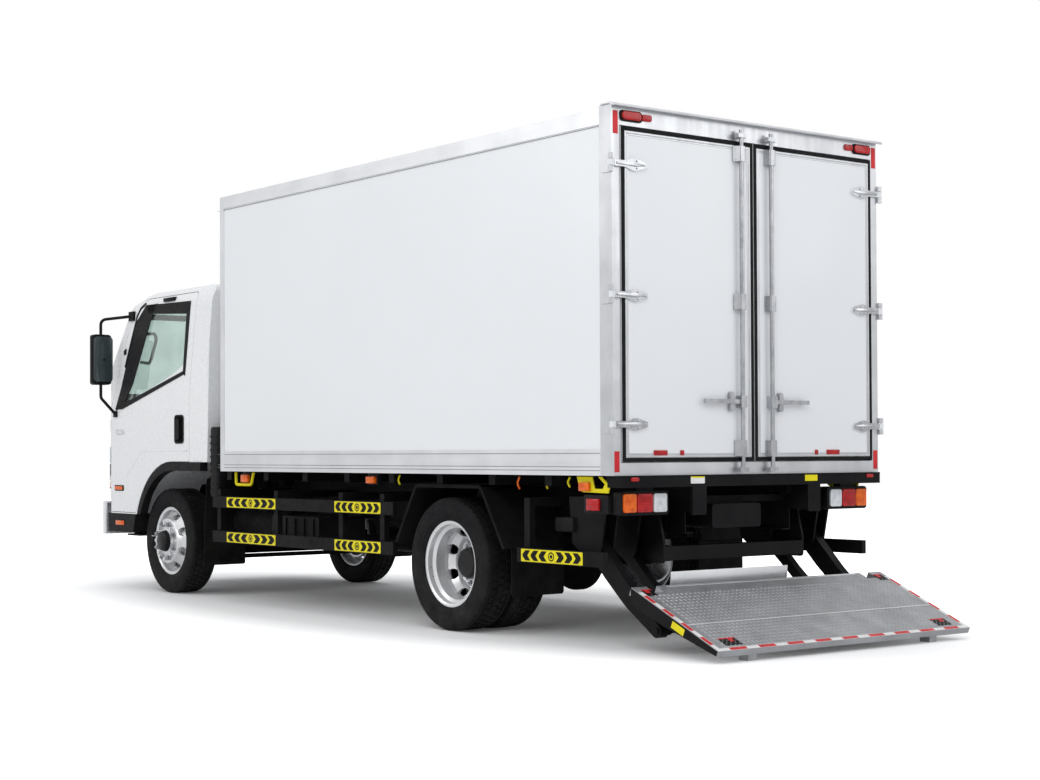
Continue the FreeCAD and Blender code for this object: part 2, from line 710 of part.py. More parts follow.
def box_rails():
    """Aluminium edge profiles: bottom and top side rails, rounded front posts and the front header."""
    half = box_half_width + rail_skin
    x0 = inner_rear_x
    x1 = box_front_x
    bottom = box(x0, x1 - 60, box_half_width, half, box_floor_z, box_floor_z + bottom_rail_height)
    grooves = [box(x0 - 1, x1, half - 2.5, half + 1, box_floor_z + rise, box_floor_z + rise + 7) for rise in (24, 44, 118)]
    bottom = bottom.cut(grooves)
    sole = box(x0, x1 - 60, box_half_width - wall, half, box_floor_z, box_floor_z + rail_skin)
    top = box(x0, x1 - 60, box_half_width, half, box_top_z - top_rail_height, box_top_z)
    cap = box(x0, x1 - 60, box_half_width - wall, half, box_top_z - rail_skin, box_top_z)
    post = plate_xy([
        (x1 - 90, half, 0), (x1 + 6, half, 55), (x1 + 6, half - 100, 0), (x1, half - 100, 0), (x1, half - 75, 0),
        (x1 - 60, box_half_width - wall, 0), (x1 - 60, box_half_width, 0), (x1 - 90, box_half_width, 0),
    ], box_floor_z, box_top_z)
    left = fused([bottom, sole, top, cap, post])
    header = box(x1, x1 + 6, -half + 99, half - 99, box_top_z - top_rail_height, box_top_z)
    foot = box(x1, x1 + 6, -half + 99, half - 99, box_floor_z, box_floor_z + 100)
    return fused([left, mirrored(left), header, foot])


def rear_frame():
    half = box_half_width + rail_skin
    outline = box(box_rear_x, inner_rear_x, -half, half, box_floor_z, box_top_z + 12)
    opening = box(box_rear_x - 1, inner_rear_x + 1, -door_opening_half_width, door_opening_half_width, door_opening_low_z,
                  door_opening_high_z)
    frame = outline.cut(opening)
    rebate = box(door_outer_x + door_depth, inner_rear_x + 1, -box_half_width + wall, box_half_width - wall,
                 box_floor_z + floor_depth, box_top_z - rail_skin - wall)
    frame = frame.cut(rebate)
    gutter = plate_xz([(box_rear_x - 38, box_top_z - 6, 4), (box_rear_x + 4, box_top_z + 6, 0), (box_rear_x + 4, box_top_z + 12, 0),
                       (inner_rear_x - 20, box_top_z + 12, 0), (inner_rear_x - 34, box_top_z + 20, 6),
                       (box_rear_x, box_top_z + 20, 20), (box_rear_x - 40, box_top_z + 8, 4)], -half - 12, half + 12)
    shapes = [frame, gutter]
    for z in hinge_heights:
        plate = box(box_rear_x, inner_rear_x - 25, half, half + 8, z - 48, z + 48)
        barrel = rod(V(hinge_x, hinge_y, z - 50), V(hinge_x, hinge_y, z - 20), 12)
        barrel_top = rod(V(hinge_x, hinge_y, z + 20), V(hinge_x, hinge_y, z + 50), 12)
        pin = rod(V(hinge_x, hinge_y, z - 40), V(hinge_x, hinge_y, z + 40), 6)
        webs = []
        for low in (z - 50, z + 20):
            webs.append(box(hinge_x - 6, hinge_x + 6, half, hinge_y, low, low + 30))
            webs.append(box(hinge_x - 6, box_rear_x + 20, half, half + 8, low, low + 30))
        shapes += pair(fused([plate, barrel, barrel_top, pin] + webs))
    return fused(shapes)


hinge_heights = (door_opening_low_z + 208, door_middle_z, door_opening_high_z - 210)


def cargo_door(side):
    low = door_opening_low_z + door_gap
    high = door_opening_high_z - door_gap
    outer_y = door_opening_half_width - door_gap
    panel = box(door_outer_x, door_outer_x + door_depth, door_gap / 2, outer_y, low, high)
    shapes = [panel]
    for z in hinge_heights:
        strap = plate_yz([(outer_y - 176, z - 15, 12), (outer_y - 176, z + 15, 12), (outer_y - 96, z + 36, 30),
                          (outer_y - 20, z + 17, 60), (hinge_y, z + 17, 0), (hinge_y, z - 17, 0), (outer_y - 20, z - 17, 60),
                          (outer_y - 96, z - 36, 30)], door_outer_x - 11, door_outer_x)
        barrel = rod(V(hinge_x, hinge_y, z - 17), V(hinge_x, hinge_y, z + 17), 13)
        bore = rod(V(hinge_x, hinge_y, z - 30), V(hinge_x, hinge_y, z + 30), 6 + pin_play)
        shapes.append(strap.fuse(barrel).cut(bore))
    shape = fused(shapes)
    return shape if side > 0 else mirrored(shape)


lock_rod_y = 120
handle_z = 1364


def lock_gear(side):
    """Lock rod with its guides, cam ends and the long handle in its keeper."""
    rod_x = door_outer_x - 28
    bar = rod(V(rod_x, lock_rod_y, box_floor_z + 12), V(rod_x, lock_rod_y, door_opening_high_z + 60), 13)
    shapes = [bar]
    for z in (door_opening_low_z + 78, door_middle_z, door_opening_high_z - 78):
        shapes.append(plate_xy([(door_outer_x, lock_rod_y - 34, 0), (door_outer_x - 8, lock_rod_y - 34, 0),
                                (door_outer_x - 44, lock_rod_y - 20, 12), (door_outer_x - 44, lock_rod_y + 20, 12),
                                (door_outer_x - 8, lock_rod_y + 46, 0), (door_outer_x, lock_rod_y + 46, 0)], z - 44, z + 44))
    for z in (box_floor_z + 26, door_opening_high_z + 26):
        shapes.append(box(rod_x - 14, rod_x + 16, lock_rod_y - 34, lock_rod_y + 34, z - 12, z + 12))
    handle = box(rod_x - 8, rod_x + 8, lock_rod_y, lock_rod_y + 300, handle_z - 12, handle_z + 12)
    shapes.append(handle)
    keeper_y = lock_rod_y + 78
    shapes.append(plate_yz([(keeper_y - 16, handle_z - 56, 14), (keeper_y + 16, handle_z - 56, 14), (keeper_y + 16, handle_z + 56, 14),
                            (keeper_y - 16, handle_z + 56, 14)], door_outer_x - 24, door_outer_x))
    shapes.append(box(rod_x - 16, door_outer_x, lock_rod_y - 20, lock_rod_y + 26, handle_z - 34, handle_z + 34))
    shape = fused(shapes)
    return shape if side > 0 else mirrored(shape)


def refrigeration_unit():
    """Nose-mounted unit: a rounded housing with a sunk condenser grille and its side flanges."""
    depth = 355
    low = box_top_z - 449
    high = box_top_z - 29
    half = 725
    x0 = box_front_x + 6
    side_view = [(x0, low, 0), (x0 + depth - 40, low + 10, 60), (x0 + depth, low + 120, 80), (x0 + depth - 30, high - 60, 90),
                 (x0 + depth - 150, high, 60), (x0, high, 0)]
    plan = [(x0, -half, 0), (x0 + depth - 70, -half + 10, 120), (x0 + depth, -half + 180, 160), (x0 + depth, half - 180, 160),
            (x0 + depth - 70, half - 10, 120), (x0, half, 0)]
    housing = plate_xz(side_view, -half, half).common(plate_xy(plan, low, high))
    recess = plate_yz([(-560, low + 110, 30), (560, low + 110, 30), (540, high - 90, 30), (-540, high - 90, 30)],
                      x0 + depth - 90, x0 + depth + 10)
    housing = housing.cut(recess)
    slats = []
    for index in range(9):
        z = low + 122 + index * 24
        slats.append(box(x0 + depth - 92, x0 + depth - 62, -560, 560, z, z + 9))
    return fused([housing] + slats)


def rear_bar():
    x0 = box_rear_x - 35
    x1 = box_rear_x + rear_bar_depth
    bar_end = box_half_width - 20
    bar = box(x0, x1, -bar_end, bar_end, 888, box_floor_z)
    frame_end = rear_x - frame_rear_behind
    web = sharp([(x0, 889), (x1, 889), (x1, rail_top_z), (frame_end, rail_top_z), (frame_end, 740), (x0, 740)])
    brackets = []
    for side in (1, -1):
        y = side * (rail_outer_y + 40)
        brackets.append(box(x0, x0 + 20, y - 50, y + 50, 730, 889))
        web_y = side * (rail_outer_y - 8)
        brackets.append(plate_xz(web, web_y - 8, web_y + 8))
        housing_y = side * (box_half_width - 245)
        brackets.append(box(x0 + 60, x1, housing_y - 60, housing_y + 60, 870, 889))
    return fused([bar] + brackets)


def tail_lamp(side):
    x0 = box_rear_x + 25
    shape = box(x0, x0 + 70, box_half_width - 420, box_half_width - 70, 735, 870)
    edges = [edge for edge in shape.Edges if abs(edge.tangentAt(0).x) > 0.9]
    shape = shape.makeFillet(18, edges)
    return shape if side > 0 else mirrored(shape)


def lift_frame():
    """Fixed part of the lift: pivot shafts, bracket plates on the rails and the lower cross beam."""
    px = rear_x - arm_pivot_behind
    lx = px + link_offset_x
    lz = arm_pivot_z + link_offset_z
    arm_inner = arm_y - arm_thickness / 2 - side_play
    arm_outer = arm_y + arm_thickness / 2 + side_play
    link_inner = link_y - link_thickness / 2 - side_play
    link_outer = link_y + link_thickness / 2 + side_play
    shapes = [
        cross_rod(px, arm_pivot_z, arm_inner - 14, arm_outer + 14, arm_pin_radius),
        cross_rod(lx, lz, link_inner - 14, link_outer + 14, link_pin_radius),
        box(px - 100, px - 30, rail_outer_y + 10, arm_outer + 14, rail_top_z - 62, rail_top_z - 2),
    ]
    ear = [
        (px - 60, arm_pivot_z - 62, 40), (px + 60, arm_pivot_z - 62, 40), (lx + 60, lz, 30), (lx + 90, rail_top_z, 0),
        (px - 130, rail_top_z, 0),
    ]
    for y0 in (rail_outer_y, arm_inner - 14, arm_outer, link_outer):
        shapes.append(plate_xz(ear, y0, y0 + 14))
    gusset = [
        (px - 215, beam_low_z - 15, 20), (px - 110, beam_low_z - 15, 20), (lx + 60, lz - 60, 30), (lx + 90, rail_top_z, 0),
        (px - 150, rail_top_z, 0), (px - 215, beam_low_z + 110, 20),
    ]
    shapes.append(plate_xz(gusset, link_inner - 14, link_inner))
    beam = box(px - 215, px - 135, -link_inner, link_inner, beam_low_z, beam_low_z + 80)
    left = fused(shapes)
    return fused([left, mirrored(left), beam])


def power_unit():
    px = box_rear_x + 65
    case = box(px, px + 260, -120, 270, 648, rail_top_z - 45)
    case = case.makeFillet(20, [edge for edge in case.Edges if abs(edge.tangentAt(0).x) > 0.9])
    end_x = rear_x - frame_rear_behind + 60
    strap = box(end_x - 30, end_x + 30, -90, 240, rail_top_z - 46, rail_top_z - 40)
    return fused([case, strap])


# Lift

def arm_plate(start, end, y, thickness, start_radius, end_radius, belly):
    """A plate arm between two pivots, deeper on its lower side near the first."""
    along = (end - start).normalize()
    down = V(-along.z, 0, along.x)
    length = (end - start).Length
    def at(distance, offset):
        spot = start + along * distance + down * offset
        return (spot.x, spot.z)
    corners = [
        (*at(-start_radius, -start_radius), start_radius * 0.95),
        (*at(length * 0.45, -start_radius * 0.55), 120),
        (*at(length + end_radius, -end_radius), end_radius * 0.95),
        (*at(length + end_radius, end_radius), end_radius * 0.95),
        (*at(length * 0.6, belly), 160),
        (*at(length * 0.25, belly), 120),
        (*at(-start_radius, start_radius), start_radius * 0.95),
    ]
    return plate_xz(corners, y - thickness / 2, y + thickness / 2)


arm_pivot = V(rear_x - arm_pivot_behind, 0, arm_pivot_z)
arm_end = V(rear_x - arm_end_behind, 0, arm_end_z)
link_offset = V(link_offset_x, 0, link_offset_z)
heel = V(rear_x - platform_heel_behind, 0, platform_heel_z)
along_platform = V(-slope_cos, 0, -slope_sin)
above_platform = V(-slope_sin, 0, slope_cos)
platform_hinge = heel + along_platform * platform_hinge_along - above_platform * platform_hinge_below


def lift_arm():
    arm = arm_plate(arm_pivot, arm_end, arm_y, arm_thickness, 58, 34, 74)
    bores = [cross_rod(arm_pivot.x, arm_pivot.z, arm_y - 60, arm_y + 60, arm_pin_radius + pin_play),
             cross_rod(arm_end.x, arm_end.z, arm_y - 60, arm_y + 60, heel_pin_radius + pin_play)]
    return arm.cut(bores)


def lift_link(side):
    arm = arm_plate(arm_pivot + link_offset, arm_end + link_offset, link_y, link_thickness, 42, 27, 36)
    start = arm_pivot + link_offset
    end = arm_end + link_offset
    bores = [cross_rod(start.x, start.z, link_y - 60, link_y + 60, link_pin_radius + pin_play),
             cross_rod(end.x, end.z, link_y - 60, link_y + 60, link_end_pin_radius + pin_play)]
    arm = arm.cut(bores)
    return arm if side > 0 else mirrored(arm)


def lift_carriage():
    """Level heel of the lift: cheek plates that join the arm pins, the link pins and the platform hinge."""
    link_end = arm_end + link_offset
    arm_inner = arm_y - arm_thickness / 2 - side_play
    link_outer = link_y + link_thickness / 2 + side_play
    cheek = [
        (arm_end.x - 30, arm_end.z - 30, 26), (link_end.x + 24, link_end.z - 24, 22), (link_end.x + 24, link_end.z + 16, 14),
        (link_end.x - 12, link_end.z + 16, 10), (arm_end.x + 14, arm_end.z + 20, 10), (platform_hinge.x + 11, platform_hinge.z + 11, 10),
        (platform_hinge.x - 14, platform_hinge.z + 11, 10), (arm_end.x - 32, arm_end.z + 40, 30),
    ]
    shapes = [plate_xz(cheek, arm_inner - 20, arm_inner), plate_xz(cheek, link_outer, link_outer + 20)]
    shapes.append(cross_rod(arm_end.x, arm_end.z, link_outer, arm_y + arm_thickness / 2 + side_play, heel_pin_radius))
    left = fused(shapes)
    link_shaft = cross_rod(link_end.x, link_end.z, -link_outer - 4, link_outer + 4, link_end_pin_radius)
    hinge_shaft = cross_rod(platform_hinge.x, platform_hinge.z, -arm_inner, arm_inner, platform_pin_radius)
    return fused([left, mirrored(left), hinge_shaft, link_shaft])


def lift_platform():
    """Tapered deck plate with side plates, hinge lugs under the heel and feet under the tip."""
    def at(along, above):
        spot = heel + along_platform * along + above_platform * above
        return (spot.x, spot.z)
    deck = plate_xz([
        (*at(0, 0), 0), (*at(platform_length, 0), 0), (*at(platform_length, -platform_tip_depth), 0),
        (*at(platform_length * 0.6, -platform_heel_depth), 0), (*at(0, -platform_heel_depth), 0),
    ], -platform_half_width, platform_half_width)
    shapes = [deck]
    for y in (740, 560):
        lug = plate_xz([
            (*at(platform_hinge_along - 34, -platform_heel_depth + 2), 0), (*at(platform_hinge_along + 60, -platform_heel_depth + 2), 0),
            (*at(platform_hinge_along + 17, -platform_hinge_below - 15), 12), (*at(platform_hinge_along - 17, -platform_hinge_below - 15), 12),
        ], y - 16, y + 16)
        shapes += pair(lug)
    for y in (-720, 720):
        foot_x, foot_top = at(platform_length - 60, -platform_tip_depth)
        shapes.append(box(foot_x - 30, foot_x + 40, y - 30, y + 30, 0, foot_top + 8))
    notch = plate_xz(sharp([at(-9, 9), at(arm_notch_length, 9), at(arm_notch_length, -90), at(-9, -90)]),
                     arm_y - arm_thickness / 2 - side_play, arm_y + arm_thickness / 2 + side_play)
    deck = fused(shapes).cut(pair(notch))
    bore = cross_rod(platform_hinge.x, platform_hinge.z, -900, 900, platform_pin_radius + pin_play)
    return deck.cut(bore)


# Cab

def cab_side_corners():
    ahead = front_x
    return [
        (ahead - cab_back_behind + 7, 604, 0), (ahead - cab_back_behind - 22, 2352, 70), (ahead - 300, 2374, 400),
        (ahead + 280, 2377, 260), (ahead + 600, 2262, 160), (ahead + 987, 1659, 1500), (ahead + 1100, 1462, 120),
        (ahead + 1130, 1180, 400), (ahead + 1128, 722, 20), (ahead + 940, 722, 0), (ahead + 940, 604, 20),
    ]


def cab_front_corners():
    half = cab_half_width
    right = [(half, 560, 0), (half, 1440, 500), (half - 58, 2250, 200), (half - 120, 2362, 70), (0, 2384, 4000)]
    left = [(-u, v, r) for u, v, r in reversed(right[:-1])]
    return right + left


def cab_plan_corners():
    ahead = front_x
    half = cab_half_width
    wide = half + 8
    back = ahead - cab_back_behind - 30
    return [
        (back, -half + 18, 60), (ahead - 150, -wide, 0), (ahead + 880, -wide, 240), (ahead + 1075, -half + 130, 140),
        (ahead + 1131, -400, 900), (ahead + 1131, 400, 900), (ahead + 1075, half - 130, 140), (ahead + 880, wide, 240),
        (ahead - 150, wide, 0), (back, half - 18, 60),
    ]


def cab_solid(inset):
    """The cab's outer form, or the same moved in by a wall's thickness."""
    side = rounded_face(cab_side_corners(), lambda u, v: V(u, 0, v))
    front = rounded_face(cab_front_corners(), lambda u, v: V(0, u, v))
    plan = rounded_face(cab_plan_corners(), lambda u, v: V(u, v, 0))
    if inset:
        side = side.makeOffset2D(-inset)
        front = front.makeOffset2D(-inset)
        plan = plan.makeOffset2D(-inset)
    side.translate(V(0, -1500, 0))
    front.translate(V(front_x - 1500, 0, 0))
    along_y = side.extrude(V(0, 3000, 0))
    along_x = front.extrude(V(3000, 0, 0))
    along_z = plan.extrude(V(0, 0, 3000))
    form = along_y.common(along_x).common(along_z)
    tunnel = box(front_x - 1000, front_x + 1060 + inset, -tunnel_half_width - inset, tunnel_half_width + inset, 0,
                 tunnel_z + inset)
    arch_x = front_x - arch_centre_behind
    radius = arch_radius + inset
    arch = cross_rod(arch_x, arch_centre_z, -1500, 1500, radius)
    well_side = well_half_width + inset
    well = cross_rod(arch_x + well_forward, arch_centre_z, -well_side, well_side, radius)
    under_floor = box(front_x - 1500, arch_x + well_forward, -1500, 1500, 0, arch_centre_z + radius)
    return form.cut([tunnel, arch, well, under_floor])


def pivot_lug():
    """Plate under the cab's front wall with the pin that it tilts on."""
    px = front_x + tilt_pivot_ahead
    z = tilt_pivot_z
    plate = plate_xz([
        (px - 20, z - 18, 14), (px + 20, z - 18, 14), (px + 20, z + 13, 14), (px - 30, z + 85, 0), (px - 30, z + 135, 0),
        (px - 60, z + 135, 0), (px - 60, z + 85, 0), (px - 22, z + 13, 0),
    ], rail_outer_y + lug_clearance, rail_outer_y + lug_clearance + 10)
    pin = cross_rod(px, z, rail_outer_y - 37, rail_outer_y + lug_clearance + 1, tilt_pin_radius)
    return plate.fuse(pin)


def door_corners(gap):
    """Door outline in side view, from the front foot round the arch to the roof, drawn in by a gap."""
    ahead = front_x
    foot_x = ahead + 430 + gap
    points = [(ahead + 870 - gap, 612 + gap, 8), (foot_x, 612 + gap, 0)]
    centre_x = ahead - arch_centre_behind
    radius = arch_radius + gap
    first = math.degrees(math.asin((612 + gap - arch_centre_z) / radius))
    steps = 9
    for index in range(1, steps + 1):
        angle = math.radians(first + (90 - first) * index / steps)
        points.append((centre_x + radius * math.cos(angle), arch_centre_z + radius * math.sin(angle), 0))
    rear = ahead - 463 + gap
    points += [
        (rear, arch_top_z + gap, 12), (rear, 1570, 900), (rear - 30, 2316 - gap, 60), (ahead + 395 - gap * 0.5, 2316 - gap, 90),
        (ahead + 640 - gap, 2080, 300), (ahead + 870 - gap, 1470, 120),
    ]
    return points


def window_corners(grow):
    ahead = front_x
    return [
        (ahead - 358 - grow, 1772 - grow, 30), (ahead - 400 - grow, 2246 + grow, 45), (ahead + 352, 2262 + grow, 120),
        (ahead + 520 + grow, 2130 + grow * 0.5, 160), (ahead + 715 + grow, 1600, 500), (ahead + 800 + grow * 1.2, 1424 - grow, 14),
        (ahead + 366, 1546 - grow, 300), (ahead - 200, 1702 - grow, 400),
    ]


windscreen_corners = [(-890, 1500, 70), (890, 1500, 70), (815, 2235, 90), (-815, 2235, 90)]
back_window_corners = [(-480, 1740, 60), (480, 1740, 60), (480, 2120, 60), (-480, 2120, 60)]


def inset_corners(corners, amount):
    middle = sum(v for u, v, radius in corners) / len(corners)
    return [(u - math.copysign(amount, u), v + math.copysign(amount, middle - v), radius - amount)
            for u, v, radius in corners]


def side_prism(corners, side):
    prism = plate_xz(corners, 780, 1200)
    return prism if side > 0 else mirrored(prism)


def side_walls():
    """What lies outside the cab's inner side faces, over the whole height."""
    inner = [(u, v if v > 600 else -400, radius) for u, v, radius in cab_front_corners()]
    face = rounded_face(inner, lambda u, v: V(0, u, v)).makeOffset2D(-cab_wall)
    face.translate(V(front_x - 1500, 0, 0))
    block = box(front_x - 1400, front_x + 1400, -1300, 1300, 0, 2330)
    return block.cut(face.extrude(V(3000, 0, 0)))


def door_pins(side, radius):
    """Hinge pins at the front edge of the doorway, in the outer face."""
    x = front_x + 869.5
    y = side * (cab_half_width + 0.5)
    return [rod(V(x, y, z - 45), V(x, y, z + 45), radius) for z in (860, 1310)]


def door(outer, walls, side):
    panel = outer.common(walls).common(side_prism(door_corners(shut_gap), side))
    panel = panel.cut(side_prism(window_corners(0), side))
    return fused([panel] + door_pins(side, door_pin_radius))


def door_glass(pane, side):
    return pane.common(side_prism(window_corners(-0.3), side))


def mirror_unit(side):
    """Mirror head on its bent tube, held at the window frame's top and foot."""
    ahead = front_x
    tube = bent_tube([
        V(ahead + 585, 965, 2190), V(ahead + 790, 1150, 2165), V(ahead + 790, 1150, 1535), V(ahead + 785, 1025, 1405),
    ], 12, 45)
    shoe = box(ahead + 540, ahead + 620, 952, 988, 2150, 2225)
    foot = box(ahead + 755, ahead + 805, 1005, 1035, 1380, 1430)
    plan = [(ahead + 755, 1070, 14), (ahead + 750, 1240, 14), (ahead + 800, 1245, 30), (ahead + 830, 1200, 40), (ahead + 830, 1110, 40),
            (ahead + 800, 1068, 30)]
    front_view = [(1066, 1640, 40), (1246, 1640, 40), (1246, 2045, 40), (1066, 2045, 40)]
    head = plate_xy(plan, 1640, 2045).common(plate_yz(front_view, ahead + 700, ahead + 900))
    shape = fused([tube, shoe, foot, head]).cut(cab_solid(-0.3))
    return shape if side > 0 else mirrored(shape)


def flare(side):
    """Black arch lip inside the door's wheel cut-out, with the step box under the door."""
    ahead = front_x
    lip_radius = arch_radius - seat_gap
    arch_x = ahead - arch_centre_behind
    ring = cross_rod(arch_x, arch_centre_z, 955, cab_half_width - 2, lip_radius)
    ring = ring.cut(cross_rod(arch_x + 6, arch_centre_z - 12, 890, cab_half_width + 10, lip_radius - 54))
    ring = ring.common(box(arch_x, ahead + 600, 800, 1100, 604, 2000))
    run_on = box(ahead - 640, arch_x + 8, 955, cab_half_width - 2, arch_centre_z + lip_radius - 66, arch_centre_z + lip_radius)
    step = plate_xz([(ahead + 442, 604, 0), (ahead + 930, 604, 0), (ahead + 930, 455, 20), (ahead + 488, 455, 20)], 760,
                    cab_half_width - 4)
    step = step.cut(box(ahead + 512, ahead + 905, 800, cab_half_width - 30, 470, 610))
    tread = box(ahead + 482, ahead + 700, 800, cab_half_width - 60, 426, 440)
    legs = [box(ahead + 520, ahead + 540, 820, 900, 438, 470), box(ahead + 680, ahead + 700, 820, 900, 438, 470)]
    shape = fused([ring, run_on, step, tread] + legs)
    return shape if side > 0 else mirrored(shape)


def head_lamp(side):
    ahead = front_x
    body = cab_solid(-4).cut(cab_solid(16))
    prism = plate_yz([(640, 770, 40), (1010, 800, 40), (1015, 1180, 60), (760, 1120, 80)], ahead + 900, ahead + 1300)
    shape = body.common(prism)
    return shape if side > 0 else mirrored(shape)


grille_depth = 16
grille_back_x = front_x + 1085
grille_corners = [(-600, 790, 30), (600, 790, 30), (560, 985, 30), (-560, 985, 30)]


def grille():
    """Frame and bars sunk into a pocket of the cab's front panel."""
    layer = cab_solid(3).cut(cab_solid(grille_depth - 2 * seat_gap))
    outside = plate_yz(inset_corners(grille_corners, 0.4), grille_back_x, grille_back_x + 200)
    inside = [(-576, 812, 12), (576, 812, 12), (540, 963, 12), (-540, 963, 12)]
    frame = outside.cut(plate_yz(inside, grille_back_x - 1, grille_back_x + 201))
    bars = [box(grille_back_x, grille_back_x + 200, -590, 590, z, z + 11) for z in (834, 866, 898, 930)]
    bars += [box(grille_back_x, grille_back_x + 200, y - 6, y + 6, 800, 975) for y in (-360, -120, 120, 360)]
    return layer.common(fused([frame] + bars).common(outside))


def seat(y, width):
    ahead = front_x
    cushion = box(ahead - 470, ahead + 30, y - width / 2, y + width / 2, 1190, 1330)
    back = plate_xz([(ahead - 480, 1250, 0), (ahead - 370, 1250, 0), (ahead - 500, 1900, 40), (ahead - 600, 1900, 40)], y - width / 2, y + width / 2)
    pedestal = box(ahead - 440, ahead - 40, y - width / 2 + 50, y + width / 2 - 50, arch_top_z + cab_wall, 1190)
    head_rest = box(ahead - 590, ahead - 510, y - 120, y + 120, 1895, 2080)
    return fused([cushion, back, pedestal, head_rest])


def dashboard():
    ahead = front_x
    half = cab_half_width - cab_wall - 12
    top = plate_xz([(ahead + 700, 1100, 40), (ahead + 760, 1380, 60), (ahead + 900, 1440, 60), (ahead + 1200, 1430, 0),
                    (ahead + 1200, 1100, 0)], -half, half)
    column = rod(wheel_centre - column_axis * 20.3, wheel_centre - column_axis * 420, 32)
    hood = plate_yz([(300, 1370, 0), (640, 1370, 0), (600, 1500, 50), (340, 1500, 50)], ahead + 770, ahead + 900)
    return fused([top, column, hood]).common(cab_solid(cab_wall + seat_gap))


wheel_centre = V(front_x + 450, 470, 1518)
column_axis = V(-290, 0, 250).normalize()


def steering_wheel():
    ring = Part.makeTorus(215, 14, wheel_centre, column_axis)
    hub = rod(wheel_centre - column_axis * 20, wheel_centre + column_axis * 16, 60)
    across = V(0, 1, 0)
    lower = column_axis.cross(across)
    spokes = []
    for direction in (across, across * -1, lower if lower.z < 0 else lower * -1):
        spokes.append(rod(wheel_centre, wheel_centre + direction * 212, 13))
    return fused([ring, hub] + spokes)


def air_intake():
    x1 = front_x - cab_back_behind - 30
    case = box(x1 - 150, x1 - 20, 560, 900, 1080, 1350)
    shelf = box(x1 - 120, x1 - 60, rail_outer_y, 800, 1070, 1080)
    post = box(x1 - 120, x1 - 60, rail_outer_y, rail_outer_y + 10, rail_top_z - 80, 1080)
    return fused([case, shelf, post])


def marker_lamps():
    solids = []
    for side in (1, -1):
        solids.append(box(rear_x + 560, rear_x + 700, side * (box_half_width - 50), side * (box_half_width - 10),
                          box_floor_z - 70, box_floor_z))
    return solids


os.makedirs("parts", exist_ok=True)

save("ladder_frame", [ladder_frame()])
save("front_axle", [front_axle()])
save("rear_axle", [rear_axle()])
save("leaf_springs", springs())
save("engine_block", [engine_block()])
save("propeller_shaft", [propeller_shaft()])
save("silencer", [silencer()])
save("battery_box", [battery_box()])
save("fuel_tank", [mirrored(fuel_tank())])
save("front_bumper", [bumper()])
save("side_guards", side_guard(1) + side_guard(-1))
save("mudguards", mudguard(1) + mudguard(-1) + [front_flap(1), front_flap(-1)])
save("body_subframe", [body_subframe()])
save("box_floor", [box_floor()])
save("box_side_left", [box_side(1)])
save("box_side_right", [box_side(-1)])
save("box_front_wall", [box_front_wall()])
save("box_roof", [box_roof()])
save("box_rails", [box_rails()])
save("rear_frame", [rear_frame()])
save("refrigeration_unit", [refrigeration_unit()])
save("rear_bar", [rear_bar()])
save("tail_lamps", [tail_lamp(1), tail_lamp(-1)])
save("lift_frame", [lift_frame()])
save("power_unit", [power_unit()])
save("cargo_door_left", [cargo_door(1)])
save("cargo_door_right", [cargo_door(-1)])
save("lock_gear_left", [lock_gear(1)])
save("lock_gear_right", [lock_gear(-1)])
save("lift_arms", pair(lift_arm()))
save("lift_links", [lift_link(1), lift_link(-1)])
save("lift_carriage", [lift_carriage()])
save("lift_platform", [lift_platform()])
save("knuckle_left", [knuckle(1)])
save("knuckle_right", [knuckle(-1)])
save("tie_rod", [tie_rod()])
for side, word in ((1, "left"), (-1, "right")):
    save("tyre_front_" + word, [tyre(front_x, side * front_tyre_y)])
    save("wheel_front_" + word, [front_wheel(side)])
    save("tyres_rear_" + word, [tyre(rear_x, side * rear_tyre_y), tyre(rear_x, side * inner_tyre_y)])
    save("wheels_rear_" + word, [rear_wheels(side)])

outer_cab = cab_solid(0)
inner_cab = cab_solid(cab_wall)
cab_skin = outer_cab.cut(inner_cab)
pane_skin = cab_solid(glass_inset).cut(cab_solid(glass_inset + glass_thickness))
windscreen = plate_yz(windscreen_corners, front_x + 300, front_x + 1400)
back_window = plate_yz(back_window_corners, front_x - 1200, front_x - 500)
windscreen_pane = plate_yz(inset_corners(windscreen_corners, 0.3), front_x + 300, front_x + 1400)
back_pane = plate_yz(inset_corners(back_window_corners, 0.3), front_x - 1200, front_x - 500)
walls = side_walls()
doorways = [side_prism(door_corners(0), side).common(walls) for side in (1, -1)]
lamps = [head_lamp(1), head_lamp(-1)]
grille_pocket = plate_yz(grille_corners, grille_back_x, grille_back_x + 200).cut(cab_solid(grille_depth))
pin_bores = door_pins(1, door_pin_radius + pin_play) + door_pins(-1, door_pin_radius + pin_play)
cab_openings = doorways + [windscreen, back_window] + lamps + [grille_pocket] + pin_bores
cab_shell = fused([cab_skin.cut(cab_openings)] + pair(pivot_lug()))
save("cab_shell", [cab_shell])
save("cab_glass", [pane_skin.common(windscreen_pane), pane_skin.common(back_pane)])
save("cab_trim", [flare(1), flare(-1), grille()])
save("head_lamps", lamps)
save("seats", [seat(500, 480), seat(-330, 860)])
save("dashboard", [dashboard()])
save("steering_wheel", [steering_wheel()])
for side, word in ((1, "left"), (-1, "right")):
    save("door_" + word, [door(outer_cab, walls, side)])
    save("door_glass_" + word, [door_glass(pane_skin, side)])
    save("mirror_" + word, [mirror_unit(side)])
save("air_intake", [air_intake()])
save("marker_lamps", marker_lamps())
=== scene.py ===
# Refrigerated truck: looks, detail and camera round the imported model
import math

import bpy
from mathutils import Matrix, Vector


